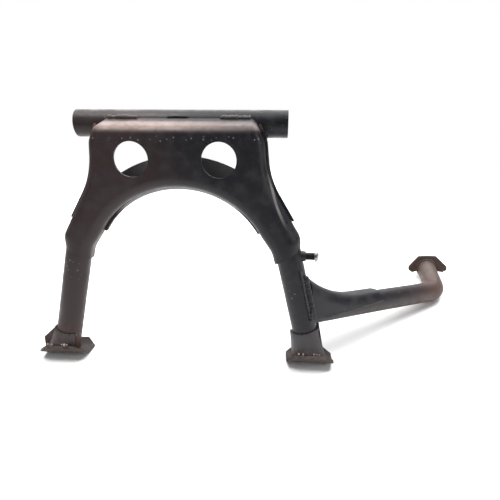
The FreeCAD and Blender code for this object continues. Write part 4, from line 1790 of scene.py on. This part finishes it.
@dataclass(frozen=True)
class Studio:
    """Pale floor, white surroundings, lights and camera.

    Args:
        floor_half: Half the width of the floor in metres.
        glow: Strength of the surroundings' light on the stand.
        seen: Strength at which the camera sees them.
        lamps: The lights.
        camera: The camera.
    """

    floor_half: float = 6.0
    glow: float = 0.30
    seen: float = 1.0
    lamps: tuple[Lamp, ...] = (
        Lamp("overhead", (-0.36, -0.23, 1.05), (0.0, -0.02, -0.10), 0.45, 12.0),
        Lamp("behind", (0.1, 1.25, 1.25), (0.1, 0.30, -0.27), 3.0, 92.0),
        Lamp("above_lever", (0.66, 0.24, 0.98), (0.30, 0.05, -0.22), 0.6, 10.0),
        Lamp("front", (-0.8, -1.3, 0.5), (0.05, 0.0, -0.12), 0.9, 1.7),
        Lamp("right", (1.25, -0.45, 0.30), (0.05, 0.0, -0.12), 0.5, 3.5))
    camera: PhotoCamera = PhotoCamera()

    def lay_floor(self, materials: Materials) -> None:
        """Lay the floor.

        Args:
            materials: The materials.
        """
        half = self.floor_half
        ground = -STAND.height * MM
        mesh = bpy.data.meshes.new("floor")
        corners = [(-half, -half, ground), (half, -half, ground), (half, half, ground),
                   (-half, half, ground)]
        mesh.from_pydata(corners, [], [(0, 1, 2, 3)])
        mesh.materials.append(materials.of(Place.FLOOR))
        floor = bpy.data.objects.new("floor", mesh)
        bpy.context.scene.collection.objects.link(floor)

    def surround(self) -> None:
        """Set up surroundings that light the stand softly and that the camera sees white."""
        world = bpy.data.worlds.new("studio")
        world.use_nodes = True
        tree = world.node_tree
        around = tree.nodes["Background"]
        backdrop = tree.nodes.new("ShaderNodeBackground")
        for node, strength in ((around, self.glow), (backdrop, self.seen)):
            node.inputs["Color"].default_value = WHITE
            node.inputs["Strength"].default_value = strength
        chosen = tree.nodes.new("ShaderNodeMixShader")
        path = tree.nodes.new("ShaderNodeLightPath")
        tree.links.new(path.outputs["Is Camera Ray"], chosen.inputs[0])
        tree.links.new(around.outputs[0], chosen.inputs[1])
        tree.links.new(backdrop.outputs[0], chosen.inputs[2])
        tree.links.new(chosen.outputs[0], tree.nodes["World Output"].inputs["Surface"])
        bpy.context.scene.world = world

    def build(self, materials: Materials) -> None:
        """Set up everything around the stand.

        Args:
            materials: The materials.
        """
        self.lay_floor(materials)
        self.surround()
        for lamp in self.lamps:
            lamp.hang()
            log.info("%s light: %.1f W", lamp.name, lamp.power)
        self.camera.place()
        bpy.context.scene.view_settings.view_transform = "Standard"


def main() -> None:
    """Build the looks of the stand and log the triangles of each added piece."""
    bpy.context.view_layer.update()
    materials = Materials()
    FrameCoats().dress(materials)
    shop = Workshop(materials)
    for piece in ADDED:
        for made in piece.lay(shop):
            triangles = sum(len(face.vertices) - 2 for face in made.data.polygons)
            log.info("%s: %d triangles", made.name, triangles)
    Studio().build(materials)


if __name__ == "__main__":
    main()
